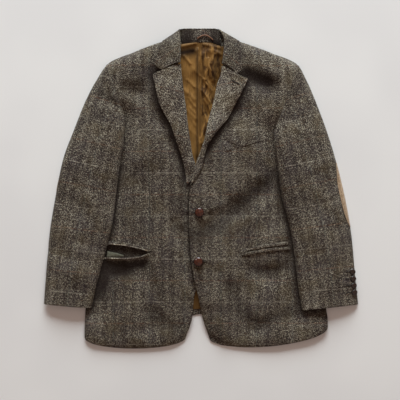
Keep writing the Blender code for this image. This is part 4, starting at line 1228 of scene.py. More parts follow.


# %% Where the fronts get painted shade and painted light
# strength, reach and path of the painted shade in each front's hollows
FRONT_SHADES = {
    "right": (
        (1.20, 26.0, ((-228, -190), (-236, -214), (-256, -250))),  # below the pocket
        (1.20, 24.0, ((-232, -194), (-206, -196), (-180, -192))),
        (1.00, 15.0, ((-190, -188), (-140, -182))),
        (0.26, 34.0, ((-180, 20), (-150, -60))),
        (0.50, 17.0, ((-120, -308), (-58, -336))),
        (0.30, 22.0, ((-176, 236), (-100, 262))),
        (0.50, 14.0, ((-120, 284), (-100, 300))),
        (0.45, 15.0, ((-56, -28), (-22, -42))),
        (0.55, 14.0, ((-60, -90), (-20, -98))),
    ),
    "left": (
        (0.66, 20.0, ((188, 40), (134, -6), (90, -44), (50, -90), (0, -110), (-24, -110))),
        (0.80, 18.0, ((196, 44), (176, 34))),
        (1.15, 20.0, ((108, 274), (160, 254))),  # beyond the lapel's tip
        (0.50, 15.0, ((226, -170), (182, -200), (124, -200))),
        (0.44, 18.0, ((66, -240), (98, -298), (134, -334), (220, -292))),
        (0.30, 20.0, ((170, 40), (206, -60))),
    ),
}
# the same for painted light, which makes the cloth paler, on the left front only
PAINTED_LIGHT_PATHS = ((0.26, 40.0, ((112, 206), (160, 150), (110, 132))), (0.18, 36.0, ((24, 44), (84, 20))))
DARKEST = 0.92
LAPEL_SHADE_STEP = (44, 46)  # y above which the left lapel's edge casts its shade
SLEEVE_SHADE_REACH = {"right": 10.0, "left": 17.0}
BELOW_ARMPIT = 3  # row of a sleeve's table below its armhole
LEFT_EDGE_ROWS = slice(9, 14)  # rows of the left front's table down its buttoned edge


def edge_shades(side, y):
    """Painted shade beside what lies on a front: lapel, sleeve, collar, cuff and left front."""
    shape = SIDE[side]
    under_lapel = 1.05 * (soft_step(y, LAPEL_SHADE_STEP) if side == "left" else 1.0)
    sleeve_fold = shape["sleeve"][:, 2:4]
    beside = sleeve_fold[BELOW_ARMPIT:]
    cuff = shape["sleeve"][-1]
    shades = [
        (under_lapel, 16.0, shape["lapel"][1:, 2:4]),
        (0.92, 6.0, beside - (4 * shape["sign"], 0)),
        (0.88, SLEEVE_SHADE_REACH[side], beside),
        (0.30, 15.0, sleeve_fold),
        (0.40, 9.0, shape["collar"][:, 3:5]),
        (0.76, 15.0, (cuff[:2], cuff[2:4])),
    ]
    if side == "right":
        left_edge = SIDE["left"]["front"][LEFT_EDGE_ROWS, :2]
        shades += [(0.95, 5.0, left_edge - (1.5, 0)), (0.45, 13.0, left_edge)]
    return shades


def front_painted_shade(side, x, y):
    """Painted shade under an edge, down a trough and in the gaping pocket's mouth; on the left
    front, less painted light where it is painted paler.
    """
    dark = np.maximum(strongest(edge_shades(side, y), x, y), strongest(FRONT_SHADES[side], x, y))
    # painted shade in the gaping pocket's mouth, darkest just under its upper lip
    if side == "right":
        lips = np.asarray(POCKET_MOUTH, float)
        below_lip = smooth((flow(lips[:, 0], lips[:, 1], x) - y) / 8.0)
        return np.minimum(np.maximum(dark, pocket_mouth(x, y) * (0.92 - 0.17 * below_lip)), DARKEST)
    dark = np.minimum(dark, DARKEST)
    # painted light: paler along the paths, less so within painted shade
    return dark - strongest(PAINTED_LIGHT_PATHS, x, y) * (1 - smooth(dark / 0.3))


FRONT_GRID = (257, 92)  # rows and columns


def front_piece(side):
    outer = front_points(side, *FRONT_GRID)
    x, y = outer[..., 0], outer[..., 1]
    inner = below(outer, TWEED_WALL, support(x, y) + 0.1)
    threads = plan_threads(outer, margin=0.13)
    marks = with_marks(threads, front_painted_shade(side, x, y), dart_mark(side, x, y))
    cloth_piece(f"front_{side}_tweed", outer, inner, marks, TWEED,
                bulges=(0.2, 1.1, 0.9, 0.15))


for side in SIDE:
    front_piece(side)

# %% [markdown]
# The backs lie under everything on the floor. They show at the hem, in the vee
# between the fronts as their lining, and from behind, so they stay plain.

# %% The backs
BACK_GRID = (121, 64)


def back_piece(side):
    rows, columns = BACK_GRID
    table = SIDE[side]["back"]
    x0, y0, x1, y1, sag = columns_of(table, rows, straight_until=len(table))
    share = drawn_in(columns, 0.4)
    x = grid(x0, x1, share)
    y = grid(y0, y1, share) + sagging(sag, share)
    x[:, 0] += SIDE[side]["sign"] * SEAM_GAP / 2
    low = np.stack((x, y, back_rise(x, y)), 2)
    cloth_piece(f"back_{side}_tweed", low + (0, 0, BACK_WALL), low, plan_threads(low),
                TWEED, bulges=(0.15, 0.9, 0.0, 0.15))


for side in SIDE:
    back_piece(side)

# %% [markdown]
# The lining is satin, cut a little wide with a pleat down the middle of the back
# so that it never pulls. It crumples where the collar pushes it down. Ridges
# are sharp on their crest and soft in between, which a sine doesn't give; one
# minus the sine's absolute value does.

# %% The lining
# start x, start y, end x, end y, half width, height
CRUMPLES = (
    (-48, 341, -14, 348, 4.5, 2.6),  # the band pushed up below the stand
    (8, 346, 46, 337, 4.5, 2.4),
    (24, 338, 46, 322, 4.0, 2.2),
    (-30, 328, -16, 322, 8.0, -1.5),
    (-8, 336, -9, 70, 2.6, 1.8),
    (4, 318, 12, 262, 3.0, 2.0),
    (17, 312, 22, 268, 3.2, 2.4),
    (34, 322, 24, 300, 3.4, 2.2),
    (6, 262, 24, 236, 3.2, 2.4),
    (2, 236, 22, 208, 3.0, 2.2),
    (8, 214, 24, 180, 3.0, 2.0),
    (0, 196, 16, 158, 2.8, 2.0),
    (14, 158, 0, 120, 2.8, 1.8),
    (-40, 318, -26, 300, 3.2, 2.0),
    (-34, 262, -16, 244, 2.6, 1.4),
    (-30, 218, -14, 196, 2.4, 1.4),
    (-28, 196, -14, 180, 2.2, 1.2),
    (-26, 170, -13, 150, 2.2, 1.1),
    (-6, 330, -2, 120, 2.2, -1.2),
)


def crumpled(x, y):
    """Crossing families of ridges, 1 - |sine|, with a wandering phase."""
    first = 1 - np.abs(np.sin((x * 0.74 + y * 0.32) / 9.5 + 1.3 * np.sin(y / 21.0)))
    second = 1 - np.abs(np.sin((x * 0.5 - y * 0.62) / 12.5 + 1.1 * np.sin(x / 17.0)))
    strength = 0.5 + 0.5 * np.sin(x / 23.0 + 1.0) * np.sin(y / 37.0)
    return (0.85 * first ** 2 + 0.75 * second ** 2) * strength


# strength, reach and path of the lining's painted shade
LINING_SHADES = (
    (1.0, 12.5, ((-50, 326), (-20, 331))),  # pushed into the neck by the stand
    (0.75, 3.0, ((-9, 338), (-9, 60))),  # along the pleat
    (0.7, 8.0, ((44, 334), (30, 268))),
    (0.5, 4.0, ((6, 325), (2, 250), (4, 180))),
)
LINING_GRID = (251, 120)
LINING_TOP = 342  # y of the lining's first row, and half its width
LINING_TOP_HALF = 49
SHOWN_STEP = (46, 26)  # |x| past which the fronts hide the lining
COLLAR_SPREAD = 30  # the lining rises over the collar's seat this far round


def lining_plan():
    """x and y of the lining; its first rows reach up to the stand, where it is sewn on."""
    rows, columns = LINING_GRID
    table = np.asarray(BACK_LINING, float)
    x0, y0, x1, y1, sag = columns_of(table, rows, straight_until=len(table))
    share = drawn_in(columns, -0.86)
    x = grid(x0, x1, share)
    y = grid(y0, y1, share) + sagging(sag, share)
    stand = np.asarray(COLLAR_STAND, float)
    to_stand = np.interp(x, stand[:, 2], stand[:, 3]) - LAYER_GAP - LINING_TOP
    return x, y + smooth((y - LINING_TOP + 20) / 20) * to_stand * (np.abs(x) < LINING_TOP_HALF)


def lining_shade(x, y, wrinkles, shown):
    """Painted shade below the stand, at the hem and in the hollows between the wrinkles."""
    dark = strongest(LINING_SHADES, x, y)
    dark = np.maximum(dark, 0.40 * smooth((y - 336) / 8))
    dark = np.maximum(dark, 0.62 * smooth((-210 - y) / 30))
    return np.maximum(dark, 0.54 * smooth((1.2 - wrinkles) / 1.6) * (x > -6) * shown)


def lining_piece():
    x, y = lining_plan()
    shown = 1 - soft_step(np.abs(x), SHOWN_STEP)
    wrinkles = np.maximum(fold_field(LINING_FOLDS, x, y), 0) + fold_field(CRUMPLES, x, y)
    wrinkles = (wrinkles + 1.7 * crumpled(x, y) * smooth((y - 60) / 60)) * shown
    seat = BACK_WALL + back_rise(x, y, COLLAR_SPREAD) + SEAM_GAP
    outer = np.stack((x, y, seat + LINING_WALL + 0.2 + np.maximum(wrinkles, 0)), 2)
    # where the satin is crumpled; its creases get painted shade there
    crumple_and_shade = 0.08 + 0.80 * smooth((x + 4) / 8) * smooth((y - 70) / 60)
    crumple_and_shade = crumple_and_shade + 0.35 * near_line(((-40, 252), (-14, 196)), x, y, 16.0)
    shade = lining_shade(x, y, wrinkles, shown)
    marks = with_marks(plan_threads(outer), shade, 0.0, crumple_and_shade * shown)
    cloth_piece("back_lining_satin", outer, outer - (0, 0, LINING_WALL), marks, SATIN,
                bulges=(0.3, 0.4, 0.3, 0.3))


lining_piece()

# %% [markdown]
# ## The sleeves
# A sleeve is a tube, and laid down it becomes two layers with a blunt fold on
# each side. The upper layer here is the tube's visible part: an arch of cloth
# whose last columns turn down round both folds, so that no edge shows. Its
# checks run along and across it, because its thread map is measured along the
# cloth and not in plan.

# %% Upper layers of the sleeves
SLEEVE_WALL = 1.5
# Past each fold: how far out, and how far down to the surface
FOLD_TURN = ((1.0, 0.16), (1.6, 0.42), (1.5, 0.70), (0.7, 0.94))
SLEEVE_GRID = (217, 61)
HEAD_SHARE = 0.12  # share of a sleeve's length over which its head is joined
UNDERARM_STEP = (0.75, 0.25)  # share of the way across at which the head goes under
DITCH = (0.045, 0.028, 2.2)  # fullness past the armhole seam: place, width, height


def seam_shift(side, gap):
    """Step in plan from the armhole seam towards the sleeve."""
    shoulder_x, shoulder_y, armpit_x, armpit_y, _ = SIDE[side]["sleeve"][0]
    along = unit(np.array((armpit_x - shoulder_x, armpit_y - shoulder_y)))
    return gap * SIDE[side]["sign"] * np.array((-along[1], along[0]))


def sleeve_face(side):
    """Outer face of a sleeve: loft x sine^0.75 of the angle, folds x sine."""
    rows, columns = SLEEVE_GRID
    ox, oy, ix, iy, loft = columns_of(SIDE[side]["sleeve"], rows)
    angle = np.linspace(0, np.pi, columns)
    share = (1 - np.cos(angle)) / 2
    x = grid(ox, ix, share)
    y = grid(oy, iy, share)
    u = np.linspace(0, 1, rows)[:, None]
    seat = BACK_WALL + SEAM_GAP
    outer_z = under_sleeve_base(side, x[:, :1], y[:, :1]) + seat + 0.3
    inner_z = under_sleeve_base(side, x[:, -1:], y[:, -1:]) + seat + 0.5
    arch = np.sin(angle)[None, :]
    folds = fold_field(SLEEVE_FOLDS, x, y) * arch
    folds = folds + fold_field(FINE_SLEEVE_FOLDS, x, y) * arch ** 0.5
    z = outer_z * (1 - share) + inner_z * share + loft[:, None] * arch ** 0.75 + folds
    head = front_height(side, x[:1], y[:1])
    head = head + (TWEED_WALL + 2 * LAYER_GAP) * soft_step(share, UNDERARM_STEP)
    joined = smooth(u / HEAD_SHARE)
    # a soft ditch just past the armhole seam, and the sleeve head's fullness after it
    place, width, height = DITCH
    fullness = height * np.exp(-((u - place) / width) ** 2) * arch ** 0.5
    points = np.stack((x, y, head * (1 - joined) + z * joined + fullness), 2)
    points[0, :, :2] += seam_shift(side, 0.5)
    return points


def turned_down(side, points, column, neighbour):
    """Columns past a fold: outwards in plan, and down to the lower layer."""
    fold = points[:, column]
    away = unit(fold[:, :2] - points[:, neighbour, :2])
    ground = under_sleeve_base(side, fold[:, 0], fold[:, 1]) + SLEEVE_WALL + 0.2
    down_the_sleeve = np.linspace(0, 1, len(fold))
    depth = np.maximum(fold[:, 2] - ground, 0) * smooth(down_the_sleeve / 0.14)
    steps = []
    for out, down in FOLD_TURN:
        place = fold.copy()
        place[:, :2] += away * out * smooth(down_the_sleeve / 0.05)[:, None]
        place[:, 2] -= depth * down
        steps.append(place)
    return steps


def lengths_along(points, axis):
    """Running length along the cloth, from the first row or column."""
    steps = np.linalg.norm(np.diff(points, axis=axis), axis=2)
    first = np.zeros_like(steps.take([0], axis=axis))
    return np.concatenate((first, np.cumsum(steps, axis=axis)), axis=axis)


# y of a place on the sleeve's middle line, its x, and the tilt of the weft there in degrees
SLEEVE_AXIS = (
    (-300, 322, 4.0),
    (-150, 304, 5.0),
    (-20, 276, 9.5),
    (80, 252, 12.0),
    (160, 229, 14.5),
    (300, 186, 16.0),
)


def sleeve_threads(side, points):
    """Thread map of a sleeve: its weft is level across the sleeve's own bent axis."""
    axis_y, axis_x, weft_tilt = np.asarray(SLEEVE_AXIS, float).T
    sign = SIDE[side]["sign"]
    plan = laid_out(points, ALL_OF_IT)
    x = plan[..., 0] * sign
    y = plan[..., 1]
    tilt = np.tan(np.radians(np.interp(y, axis_y, weft_tilt)))
    level = y - tilt * (x - np.interp(y, axis_y, axis_x))
    across = (x - np.interp(level, axis_y, axis_x)) * sign
    return np.stack((across + 20.0, (level - SIDE[side]["check_start"]) * 1.012), 2) * MM


# strength, reach and path of the painted shade in each sleeve's hollows
SLEEVE_SHADES = {
    "right": ((0.50, 11.0, ((-246, 234), (-206, 212))), (0.34, 8.0, ((-300, 160), (-240, 172)))),
    "left": ((0.30, 10.0, ((214, 226), (252, 240))), (0.30, 9.0, ((238, 120), (300, 132)))),
}


def sleeve_piece(side):
    """The upper layer; also returns its points and its normals, for what is sewn on it."""
    face = sleeve_face(side)
    outer_turn = turned_down(side, face, 0, -1)[::-1]
    inner_turn = turned_down(side, face, -1, 0)
    outer = np.concatenate((np.stack(outer_turn, 1), face, np.stack(inner_turn, 1)), 1)
    n = upward_normals(outer, len(outer) // 2, outer.shape[1] // 2)
    n[0] = (0, 0, 1)
    painted_light_and_shade = strongest(SLEEVE_SHADES[side], outer[..., 0], outer[..., 1])
    marks = with_marks(sleeve_threads(side, outer), painted_light_and_shade)
    made = cloth_piece(f"top_sleeve_{side}_tweed", outer, outer - SLEEVE_WALL * n, marks,
                       TWEED, bulges=(0.1, 1.0, 0.4, 0.4))
    return made, outer, n


sleeves = {side: sleeve_piece(side) for side in SIDE}

# %% Lower layers of the sleeves
UNDER_SLEEVE_GRID = (145, 44)
DRAWN_IN = 2.2  # mm from the upper layer's fold to the lower layer's edge


def under_sleeve_piece(side):
    """Lies on the floor, its edges drawn in behind the upper layer's folds."""
    rows, columns = UNDER_SLEEVE_GRID
    table = SIDE[side]["under_sleeve"]
    ox, oy, ix, iy = columns_of(table, rows, straight_until=len(table))
    across = np.hypot(ix - ox, iy - oy)
    drawn = (DRAWN_IN / np.maximum(across, 8.0))[:, None]
    share = drawn + (1 - 2 * drawn) * np.linspace(0, 1, columns)[None, :]
    x = ox[:, None] * (1 - share) + ix[:, None] * share
    y = oy[:, None] * (1 - share) + iy[:, None] * share
    low = np.stack((x, y, under_sleeve_base(side, x, y)), 2)
    outer = low + (0, 0, BACK_WALL)
    cloth_piece(f"under_sleeve_{side}_tweed", outer, low, sleeve_threads(side, outer),
                TWEED, bulges=(0.1, 0.8, 0.8, 0.8))


for side in SIDE:
    under_sleeve_piece(side)

# %% [markdown]
# ## Lapels and collar
# A lapel is the front's facing turned back on its roll line. A pressed crease
# would be flat; a rolled one keeps some height, and that is what gives a
# hand-made jacket its look. So each lapel starts under itself, comes up round
# the roll, and then comes down to lie on its front, with a little air.

# %% The turned edge
# From the roll: how far across, how far below the face, then the way to its
# inner side: inwards and downwards
TURNED_EDGE = (
    (0.0, -6.0, 1.0, 0.0),
    (0.15, -3.8, 1.0, -0.1),
    (0.9, -1.6, 0.79, -0.61),
    (2.6, -0.4, 0.35, -0.94),
    (5.4, 0.0, 0.0, -1.0),
)
TURN_STEPS = 13


def turned_strip(crease, edge, face, shares, size):
    """A strip turned under along its first edge, and the way to its inner side.

    First come TURN_STEPS columns round the crease, whose size is 1 where the
    turn is full; the last of them is the first share of the flat part.
    """
    run = edge - crease
    width = np.linalg.norm(run, axis=1, keepdims=True)
    run = run / width
    shares = shares[1:]
    face = np.asarray(face, float)
    size = np.asarray(size, float)[:, None]
    profile = np.asarray(TURNED_EDGE, float)
    at = np.linspace(0, len(profile) - 1, TURN_STEPS)
    into, drop, level, _ = (flow(np.arange(len(profile)), column, at) for column in profile.T)
    points = [crease + run * a + face * b * size for a, b in zip(into, drop)]
    inward = [run * c * size - face * np.sqrt(1 - (c * size) ** 2) for c in level]
    start = profile[-1, 0]
    points += [crease + run * (start + (width - start) * share) for share in shares]
    inward += [-face + 0 * run for _ in shares]
    return np.stack(points, 1), np.stack(inward, 1)


# %% The lapels
# start x, start y, end x, end y, half width, height
LAPEL_WAVES = (
    (-60, 262, -104, 266, 9, -1.2),  # crease below the right notch
    (-62, 236, -96, 212, 14, 1.0),
    (-44, 190, -82, 168, 12, -0.8),
    (-30, 118, -52, 112, 12, 0.8),
    (56, 268, 100, 254, 9, -1.0),
    (50, 232, 92, 222, 14, 1.1),
    (34, 186, 70, 176, 12, -0.9),
    (20, 140, 48, 130, 12, 0.8),
)
FLAT_START = TURN_STEPS - 1  # first column of a turned strip's flat part
LAPEL_GRID = (161, 37)
LAPEL_END = 56  # mm of its lower end over which a lapel flattens
LEAST_AIR = 0.9  # between a lapel and its front at that end
ROLL_AIR = (1.6, 0.8)  # under the roll: at the lower end, and how much more above
# how much painted light each lapel has, and along which path
LAPEL_PAINTED_LIGHT = {"right": 0.0, "left": 0.42}
LAPEL_PAINTED_LIGHT_PATH = ((70, 252), (56, 214), (34, 160))


def lapel_air(shares, end):
    """Air under a lapel: more near the roll and in the middle, and at its free edge."""
    air = 2.2 * (1 - shares) ** 1.5 + 1.6 * np.sin(np.pi * shares) + 1.2 + 1.2 * shares ** 4
    return LEAST_AIR + (air - LEAST_AIR) * end[:, None]


def lapel_piece(side):
    shape = SIDE[side]
    rows, columns = LAPEL_GRID
    rx, ry, ex, ey = columns_of(shape["lapel"], rows)
    end = smooth((ry - ry[-1]) / LAPEL_END)
    roll = panel_face(side, rx, ry, fine=False) + LAPEL_WALL + ROLL_AIR[0] + ROLL_AIR[1] * end
    shares = np.linspace(0, 1, columns)
    strip, inward = turned_strip(np.stack((rx, ry, roll), 1), np.stack((ex, ey, roll), 1),
                                 (0, 0, 1), shares, 0.45 + 0.55 * end)
    x = strip[:, FLAT_START:, 0]
    y = strip[:, FLAT_START:, 1]
    height = panel_face(side, x, y) + LAPEL_WALL + lapel_air(shares, end)
    height = height + (roll - height[:, 0])[:, None] * (1 - shares) ** 3
    waves = fold_field(LAPEL_WAVES, x, y) * np.sin(np.pi * shares) ** 0.5
    strip[:, FLAT_START:, 2] = height + waves
    threads = plan_threads(strip, turn=-14 * shape["sign"], phase=(31.0, 40.0))
    x, y = strip[..., 0], strip[..., 1]
    # painted shade under the collar's edge, less painted light on the left lapel
    shade = 0.50 * near_line(shape["collar"][:, 3:5], x, y, 6.0)
    shade = shade - LAPEL_PAINTED_LIGHT[side] * near_line(LAPEL_PAINTED_LIGHT_PATH, x, y, 34.0)
    return cloth_piece(f"lapel_{side}_tweed", strip, strip + LAPEL_WALL * inward,
                       with_marks(threads, shade), TWEED_LAPEL_LIT, bulges=(0.15, 0.6, 0.5, 1.1))


lapels = {side: lapel_piece(side) for side in SIDE}

# %% The collar's two leaves
LEAF_GRID = (111, 41)


def collar_leaf_piece(side):
    """From the crease down the neck to the leaf's point, over the shoulder seam."""
    shape = SIDE[side]
    rows, columns = LEAF_GRID
    cx, cy, cz, ex, ey, sag = columns_of(shape["collar"], rows)
    shares = np.linspace(0, 1, columns)
    strip, inward = turned_strip(np.stack((cx, cy, cz), 1), np.stack((ex, ey, cz), 1),
                                 (0, 0, 1), shares, smooth((cz - 8) / 12))
    strip[:, FLAT_START:, 1] += sag[:, None] * np.sin(np.pi * shares ** 2)[None, :]
    x = strip[:, FLAT_START:, 0]
    y = strip[:, FLAT_START:, 1]
    neck_x, neck_y, shoulder_x, shoulder_y = shape["front"][0, :4]
    seam_slope = (shoulder_y - neck_y) / (shoulder_x - neck_x)
    past_seam = smooth((y - neck_y - seam_slope * (x - neck_x) - 5) / 12)
    on_front = panel_face(side, x, y) + COLLAR_WALL + 1.4 + 2.0 * smooth((y - 308) / 30)
    lowest = on_front * (1 - past_seam) + (2 * COLLAR_WALL + SEAM_GAP) * past_seam
    slope = cz[:, None] * (1 - shares) ** 1.2 + lowest * (1 - (1 - shares) ** 1.2)
    strip[:, FLAT_START:, 2] = np.maximum(slope, lowest)
    threads = plan_threads(strip, turn=34 * shape["sign"], phase=(12.0, 70.0))
    # painted shade: the whole leaf a little darker, and more towards its point at the notch
    to_point = np.hypot(strip[..., 0] - ex[-1], strip[..., 1] - ey[-1])
    shade = 0.10 + 0.32 * np.exp(-(to_point / 30) ** 2)
    cloth_piece(f"collar_leaf_{side}_tweed", strip, strip + COLLAR_WALL * inward,
                with_marks(threads, shade), TWEED, bulges=(0.15, 0.1, 0.5, 1.1))


for side in SIDE:
    collar_leaf_piece(side)

# %% The collar's back, its stand and the hanger loop
STAND_Z = 7.6  # height of the stand's outer face
STAND_BOW = 0.9  # how much higher its middle lies
LOOP_FROM = (-9, 360)  # the loop's two ends, and how far it arches up
LOOP_TO = (29, 357)
LOOP_ARCH = 9.0
LOOP_WIDTH = 3.4
LOOP_THICK = 1.2
COLLAR_BACK_GRID = (97, 17)
STAND_GRID = (97, 33)
LOOP_GRID = (61, 9)


def collar_back_piece():
    """The fall's underside: its crease beyond the neck, turned under towards it."""
    rows, columns = COLLAR_BACK_GRID
    cx, cy, ex, ey = columns_of(COLLAR_BACK, rows)
    level = np.zeros_like(cx)
    size = 0.95 * smooth((50 - np.abs(cx - CENTRE_BACK_X)) / 14)
    strip, inward = turned_strip(np.stack((cx, cy, level), 1), np.stack((ex, ey, level), 1),
                                 (0, 0, -1), np.linspace(0, 1, columns), size)
    cloth_piece("collar_back_tweed", strip, strip + COLLAR_WALL * inward,
                with_marks(plan_threads(strip), 0.0), TWEED, bulges=(0.1, 0.1, 0.4, 0.9))


def collar_stand_piece():
    """The band inside the neck, with painted shade all over and more towards its ends and its lower
    edge.
    """
    rows, columns = STAND_GRID
    cx, cy, lx, ly = columns_of(COLLAR_STAND, rows)
    share = np.linspace(0, 1, columns)
    x = grid(cx, lx, share)
    y = grid(cy, ly, share)
    z = STAND_Z + STAND_BOW * np.sin(np.pi * share)[None, :] + 0 * x
    outer = np.stack((x, y, z), 2)
    shade = 0.30 + 0.54 * smooth((np.abs(x - 1) - 10) / 18) + 0.16 * smooth((share - 0.5) / 0.5)
    cloth_piece("collar_stand_tweed", outer, outer - (0, 0, BACK_WALL),
                with_marks(plan_threads(outer, turn=45), shade), TWEED_STAND_PAINTED,
                bulges=(0.3, 0.3, 0.6, 0.6))


def hanger_loop_piece():
    """A tape between two places on the stand: straight line + arch x sine."""
    rows, columns = LOOP_GRID
    t = np.linspace(0, 1, rows)[:, None]
    across = np.linspace(-0.5, 0.5, columns)[None, :]
    x = LOOP_FROM[0] + (LOOP_TO[0] - LOOP_FROM[0]) * t + 0 * across
    y = LOOP_FROM[1] + (LOOP_TO[1] - LOOP_FROM[1]) * t + LOOP_ARCH * np.sin(np.pi * t)
    y = y + LOOP_WIDTH * across
    crown = 0.5 * (1 - (2 * across) ** 2)
    z = STAND_Z + STAND_BOW + SEAM_GAP + LOOP_THICK + 1.2 * np.sin(np.pi * t) + crown
    outer = np.stack((x, y, z), 2)
    cloth_piece("hanger_loop_satin", outer, outer - (0, 0, LOOP_THICK), plan_threads(outer),
                LOOP_CLOTH, bulges=(0.3, 0.3, 0.3, 0.3))


collar_back_piece()
collar_stand_piece()
hanger_loop_piece()

# %% [markdown]
# ## Pockets and welts
# Each hip pocket has two jets, narrow strips that bind its mouth. Lying down,
# the right pocket gapes and shows its green-grey lining at one end. A strip is
# laid along a line on its panel: its height is the panel's own height formula.

# %% Strips that lie on a front
# name, side, line, widths, thickness, lift in the middle, air below, turn of the weave
TRIMMINGS = (
    ("hip_jet_upper_right", "right",
     ((-222, -131), (-187, -133), (-160, -138), (-122, -148)), (6, 6), 1.6, 0.6, 0.5, 8),
    ("hip_jet_lower_right", "right",
     ((-226, -169), (-180, -170), (-145, -166), (-125, -158)), (6, 6), 1.6, 1.6, 0.5, 8),
    ("pocket_lining_right", "right",
     ((-225, -157.5), (-205, -159), (-186, -161.5)), (13, 3), 1.2, 0.0, 0.5, 8),
    ("hip_jet_upper_left", "left",
     ((96, -152), (127, -143), (164, -136), (208, -131)), (6, 6), 1.6, 0.4, 0.5, 8),
    ("hip_jet_lower_left", "left",
     ((98, -159), (130, -152.5), (168, -146.5), (212, -143.5)), (6, 6), 1.6, 0.8, 0.5, 8),
    ("breast_welt_left", "left",
     ((58, 100), (88, 108), (118, 117), (146, 126)), (22, 22), 0.9, 0.1, 0.12, 0),
)
STRIP_FINISH = {"pocket_lining_right": (POCKETING, "pocketing")}
STRIP_GRID = (97, 15)
STRIP_CROWN = 0.35  # how much higher a strip's middle line is than its edges


def strip_piece(name, side, path, widths, thickness, lift, air, turn):
    """A strip on a front: its line's points, moved across by shares of its width."""
    rows, columns = STRIP_GRID
    path = np.asarray(path, float)
    t = np.linspace(0, len(path) - 1, rows)
    knots = np.arange(len(path))
    line = np.stack([flow(knots, column, t) for column in path.T], 1)
    along = unit(np.gradient(line, axis=0))
    width = np.interp(t, (0, t[-1]), widths)[:, None]
    across = np.linspace(-0.5, 0.5, columns)[None, :]
    x = line[:, :1] - along[:, 1:] * across * width
    y = line[:, 1:] + along[:, :1] * across * width
    rise = lift * np.sin(np.pi * t / t[-1])[:, None] + STRIP_CROWN * (1 - (2 * across) ** 2)
    outer = np.stack((x, y, panel_face(side, x, y) + air + thickness + rise), 2)
    finish, slot = STRIP_FINISH.get(name, (TWEED, "tweed"))
    marks = with_marks(plan_threads(outer, turn=turn), 0.0)
    cloth_piece(name + "_strip", outer, outer - (0, 0, thickness), marks, finish,
                bulges=(0.4, 0.4, 0.5, 0.5))


for row in TRIMMINGS:
    strip_piece(*row)

# the right pocket's rolled lips: column of POCKET_MOUTH, step in y, lift above the panel
LIPS = ((1, 0.6, 2.6), (2, -0.8, 3.0))


def lip_paths():
    """The right pocket's two rolled lips: along its mouth, just above the jets."""
    lips = np.asarray(POCKET_MOUTH, float)
    x = np.linspace(-240, -122, 90)
    paths = []
    for column, step, lift in LIPS:
        y = flow(lips[:, 0], lips[:, column], x) + step
        paths.append(np.column_stack((x, y, panel_face("right", x, y) + lift)))
    return paths

# %% [markdown]
# ## Elbow patches
# The suede ovals are sewn on the back of each elbow, so here they're mostly under
# the sleeves: only a sliver of the left one comes round the sleeve's outer fold.
# That one is made from the sleeve's own points, moved out along its normals.

# %% Patches
PATCH = 1.2  # suede wall
PATCH_RIGHT = (-311, -22, 38, 80)  # centre x, centre y, half width, half length
PATCH_LEFT = (62, -92, 54, 15)  # top y, bottom y, width under the sleeve, width above
PATCH_TURN = ((1.3, 0.25), (2.4, 1.1), (2.9, 2.4))  # past the fold: out, and height
PATCH_ROWS = 61
FACE_COLUMNS = 16  # columns of the sleeve that the left patch may cover


def oval(rows, least):
    """Half width of an oval from end to end, as a share of its middle's; least at its ends."""
    t = np.linspace(0, 1, rows)
    return t, np.sqrt(np.clip(1 - (2 * t - 1) ** 2, least, 1))


def patch_right_piece():
    """Wholly under its sleeve, flat on the floor."""
    t, half = oval(PATCH_ROWS, 0.03)
    cx, cy, half_width, half_length = PATCH_RIGHT
    across = np.linspace(-1, 1, 37)[None, :]
    x = cx + half_width * half[:, None] * across
    y = cy + half_length * (1 - 2 * t)[:, None] + 0 * across
    outer = np.stack((x, y, np.full_like(x, PATCH)), 2)
    cloth_piece("elbow_patch_right_suede", outer, outer - (0, 0, PATCH), plan_threads(outer),
                SUEDE, bulges=(0.4, 0.4, 0.5, 0.5))


def along_rows(row_at, columns):
    """Points of a grid's columns, read at places between its rows."""
    rows = np.arange(len(columns[0]))
    return [np.stack([np.interp(row_at, rows, part) for part in column.T], 1) for column in columns]


def patch_left_piece():
    """Flat under the sleeve, round its fold, and up its face for a little way."""
    _, face, normal = sleeves["left"]
    first = len(FOLD_TURN)
    top_y, bottom_y, under_width, upper_width = PATCH_LEFT
    t, half = oval(PATCH_ROWS, 0.04)
    row_at = np.interp(-(top_y + (bottom_y - top_y) * t), -face[:, first, 1], np.arange(len(face)))
    covered = range(first, first + FACE_COLUMNS)
    places = along_rows(row_at, [face[:, k] for k in covered])
    ways = along_rows(row_at, [normal[:, k] for k in covered])
    fold = places[0]
    under = [np.stack((fold[:, 0] - under_width * half * s, fold[:, 1], 0 * t), 1)
             for s in np.linspace(1, 0.06, 20)]
    turn = [fold + np.stack((0 * t + out, 0 * t, z - fold[:, 2]), 1) for out, z in PATCH_TURN]
    # up the sleeve's face, as far as the oval is wide there
    reach = np.stack([np.linalg.norm(p - fold, axis=1) for p in places], 1)
    lifted = np.stack([p + w * (PATCH + 0.5) for p, w in zip(places, ways)], 1)
    wanted = upper_width * half[:, None] * np.linspace(0.08, 1, 14)[None, :]
    over = np.stack([[np.interp(w, r, line[:, axis]) for axis in range(3)]
                     for w, r, line in zip(wanted, reach, lifted)], 0)
    over = np.moveaxis(over, 1, 2)
    outer = np.concatenate((np.stack(under, 1), np.stack(turn, 1), over), 1)
    n = upward_normals(outer, PATCH_ROWS // 2, -3)
    n[:, :len(under) - 2] = (0, 0, -1)
    across = lengths_along(outer, 1)
    threads = np.stack((across, np.broadcast_to(-outer[:, :1, 1], across.shape)), 2) * MM
    cloth_piece("elbow_patch_left_suede", outer, outer - PATCH * n, threads, SUEDE,
                bulges=(0.4, 0.4, 0.4, 0.4))
    return outer, n


patch_right_piece()
patch_left_face, patch_left_normal = patch_left_piece()

# %% [markdown]
# ## Buttons
# Plaited leather buttons are domes of crossing straps. A square grid bent to a
# disc has no pole, so the plait can be a height over the square: three straps
# each way in a basket, each one round across and dipping under its neighbours.

# %% Plaited domes
STRAPS = 3  # straps each way
DISH = 0.8  # a button's foot is this much narrower than its rim


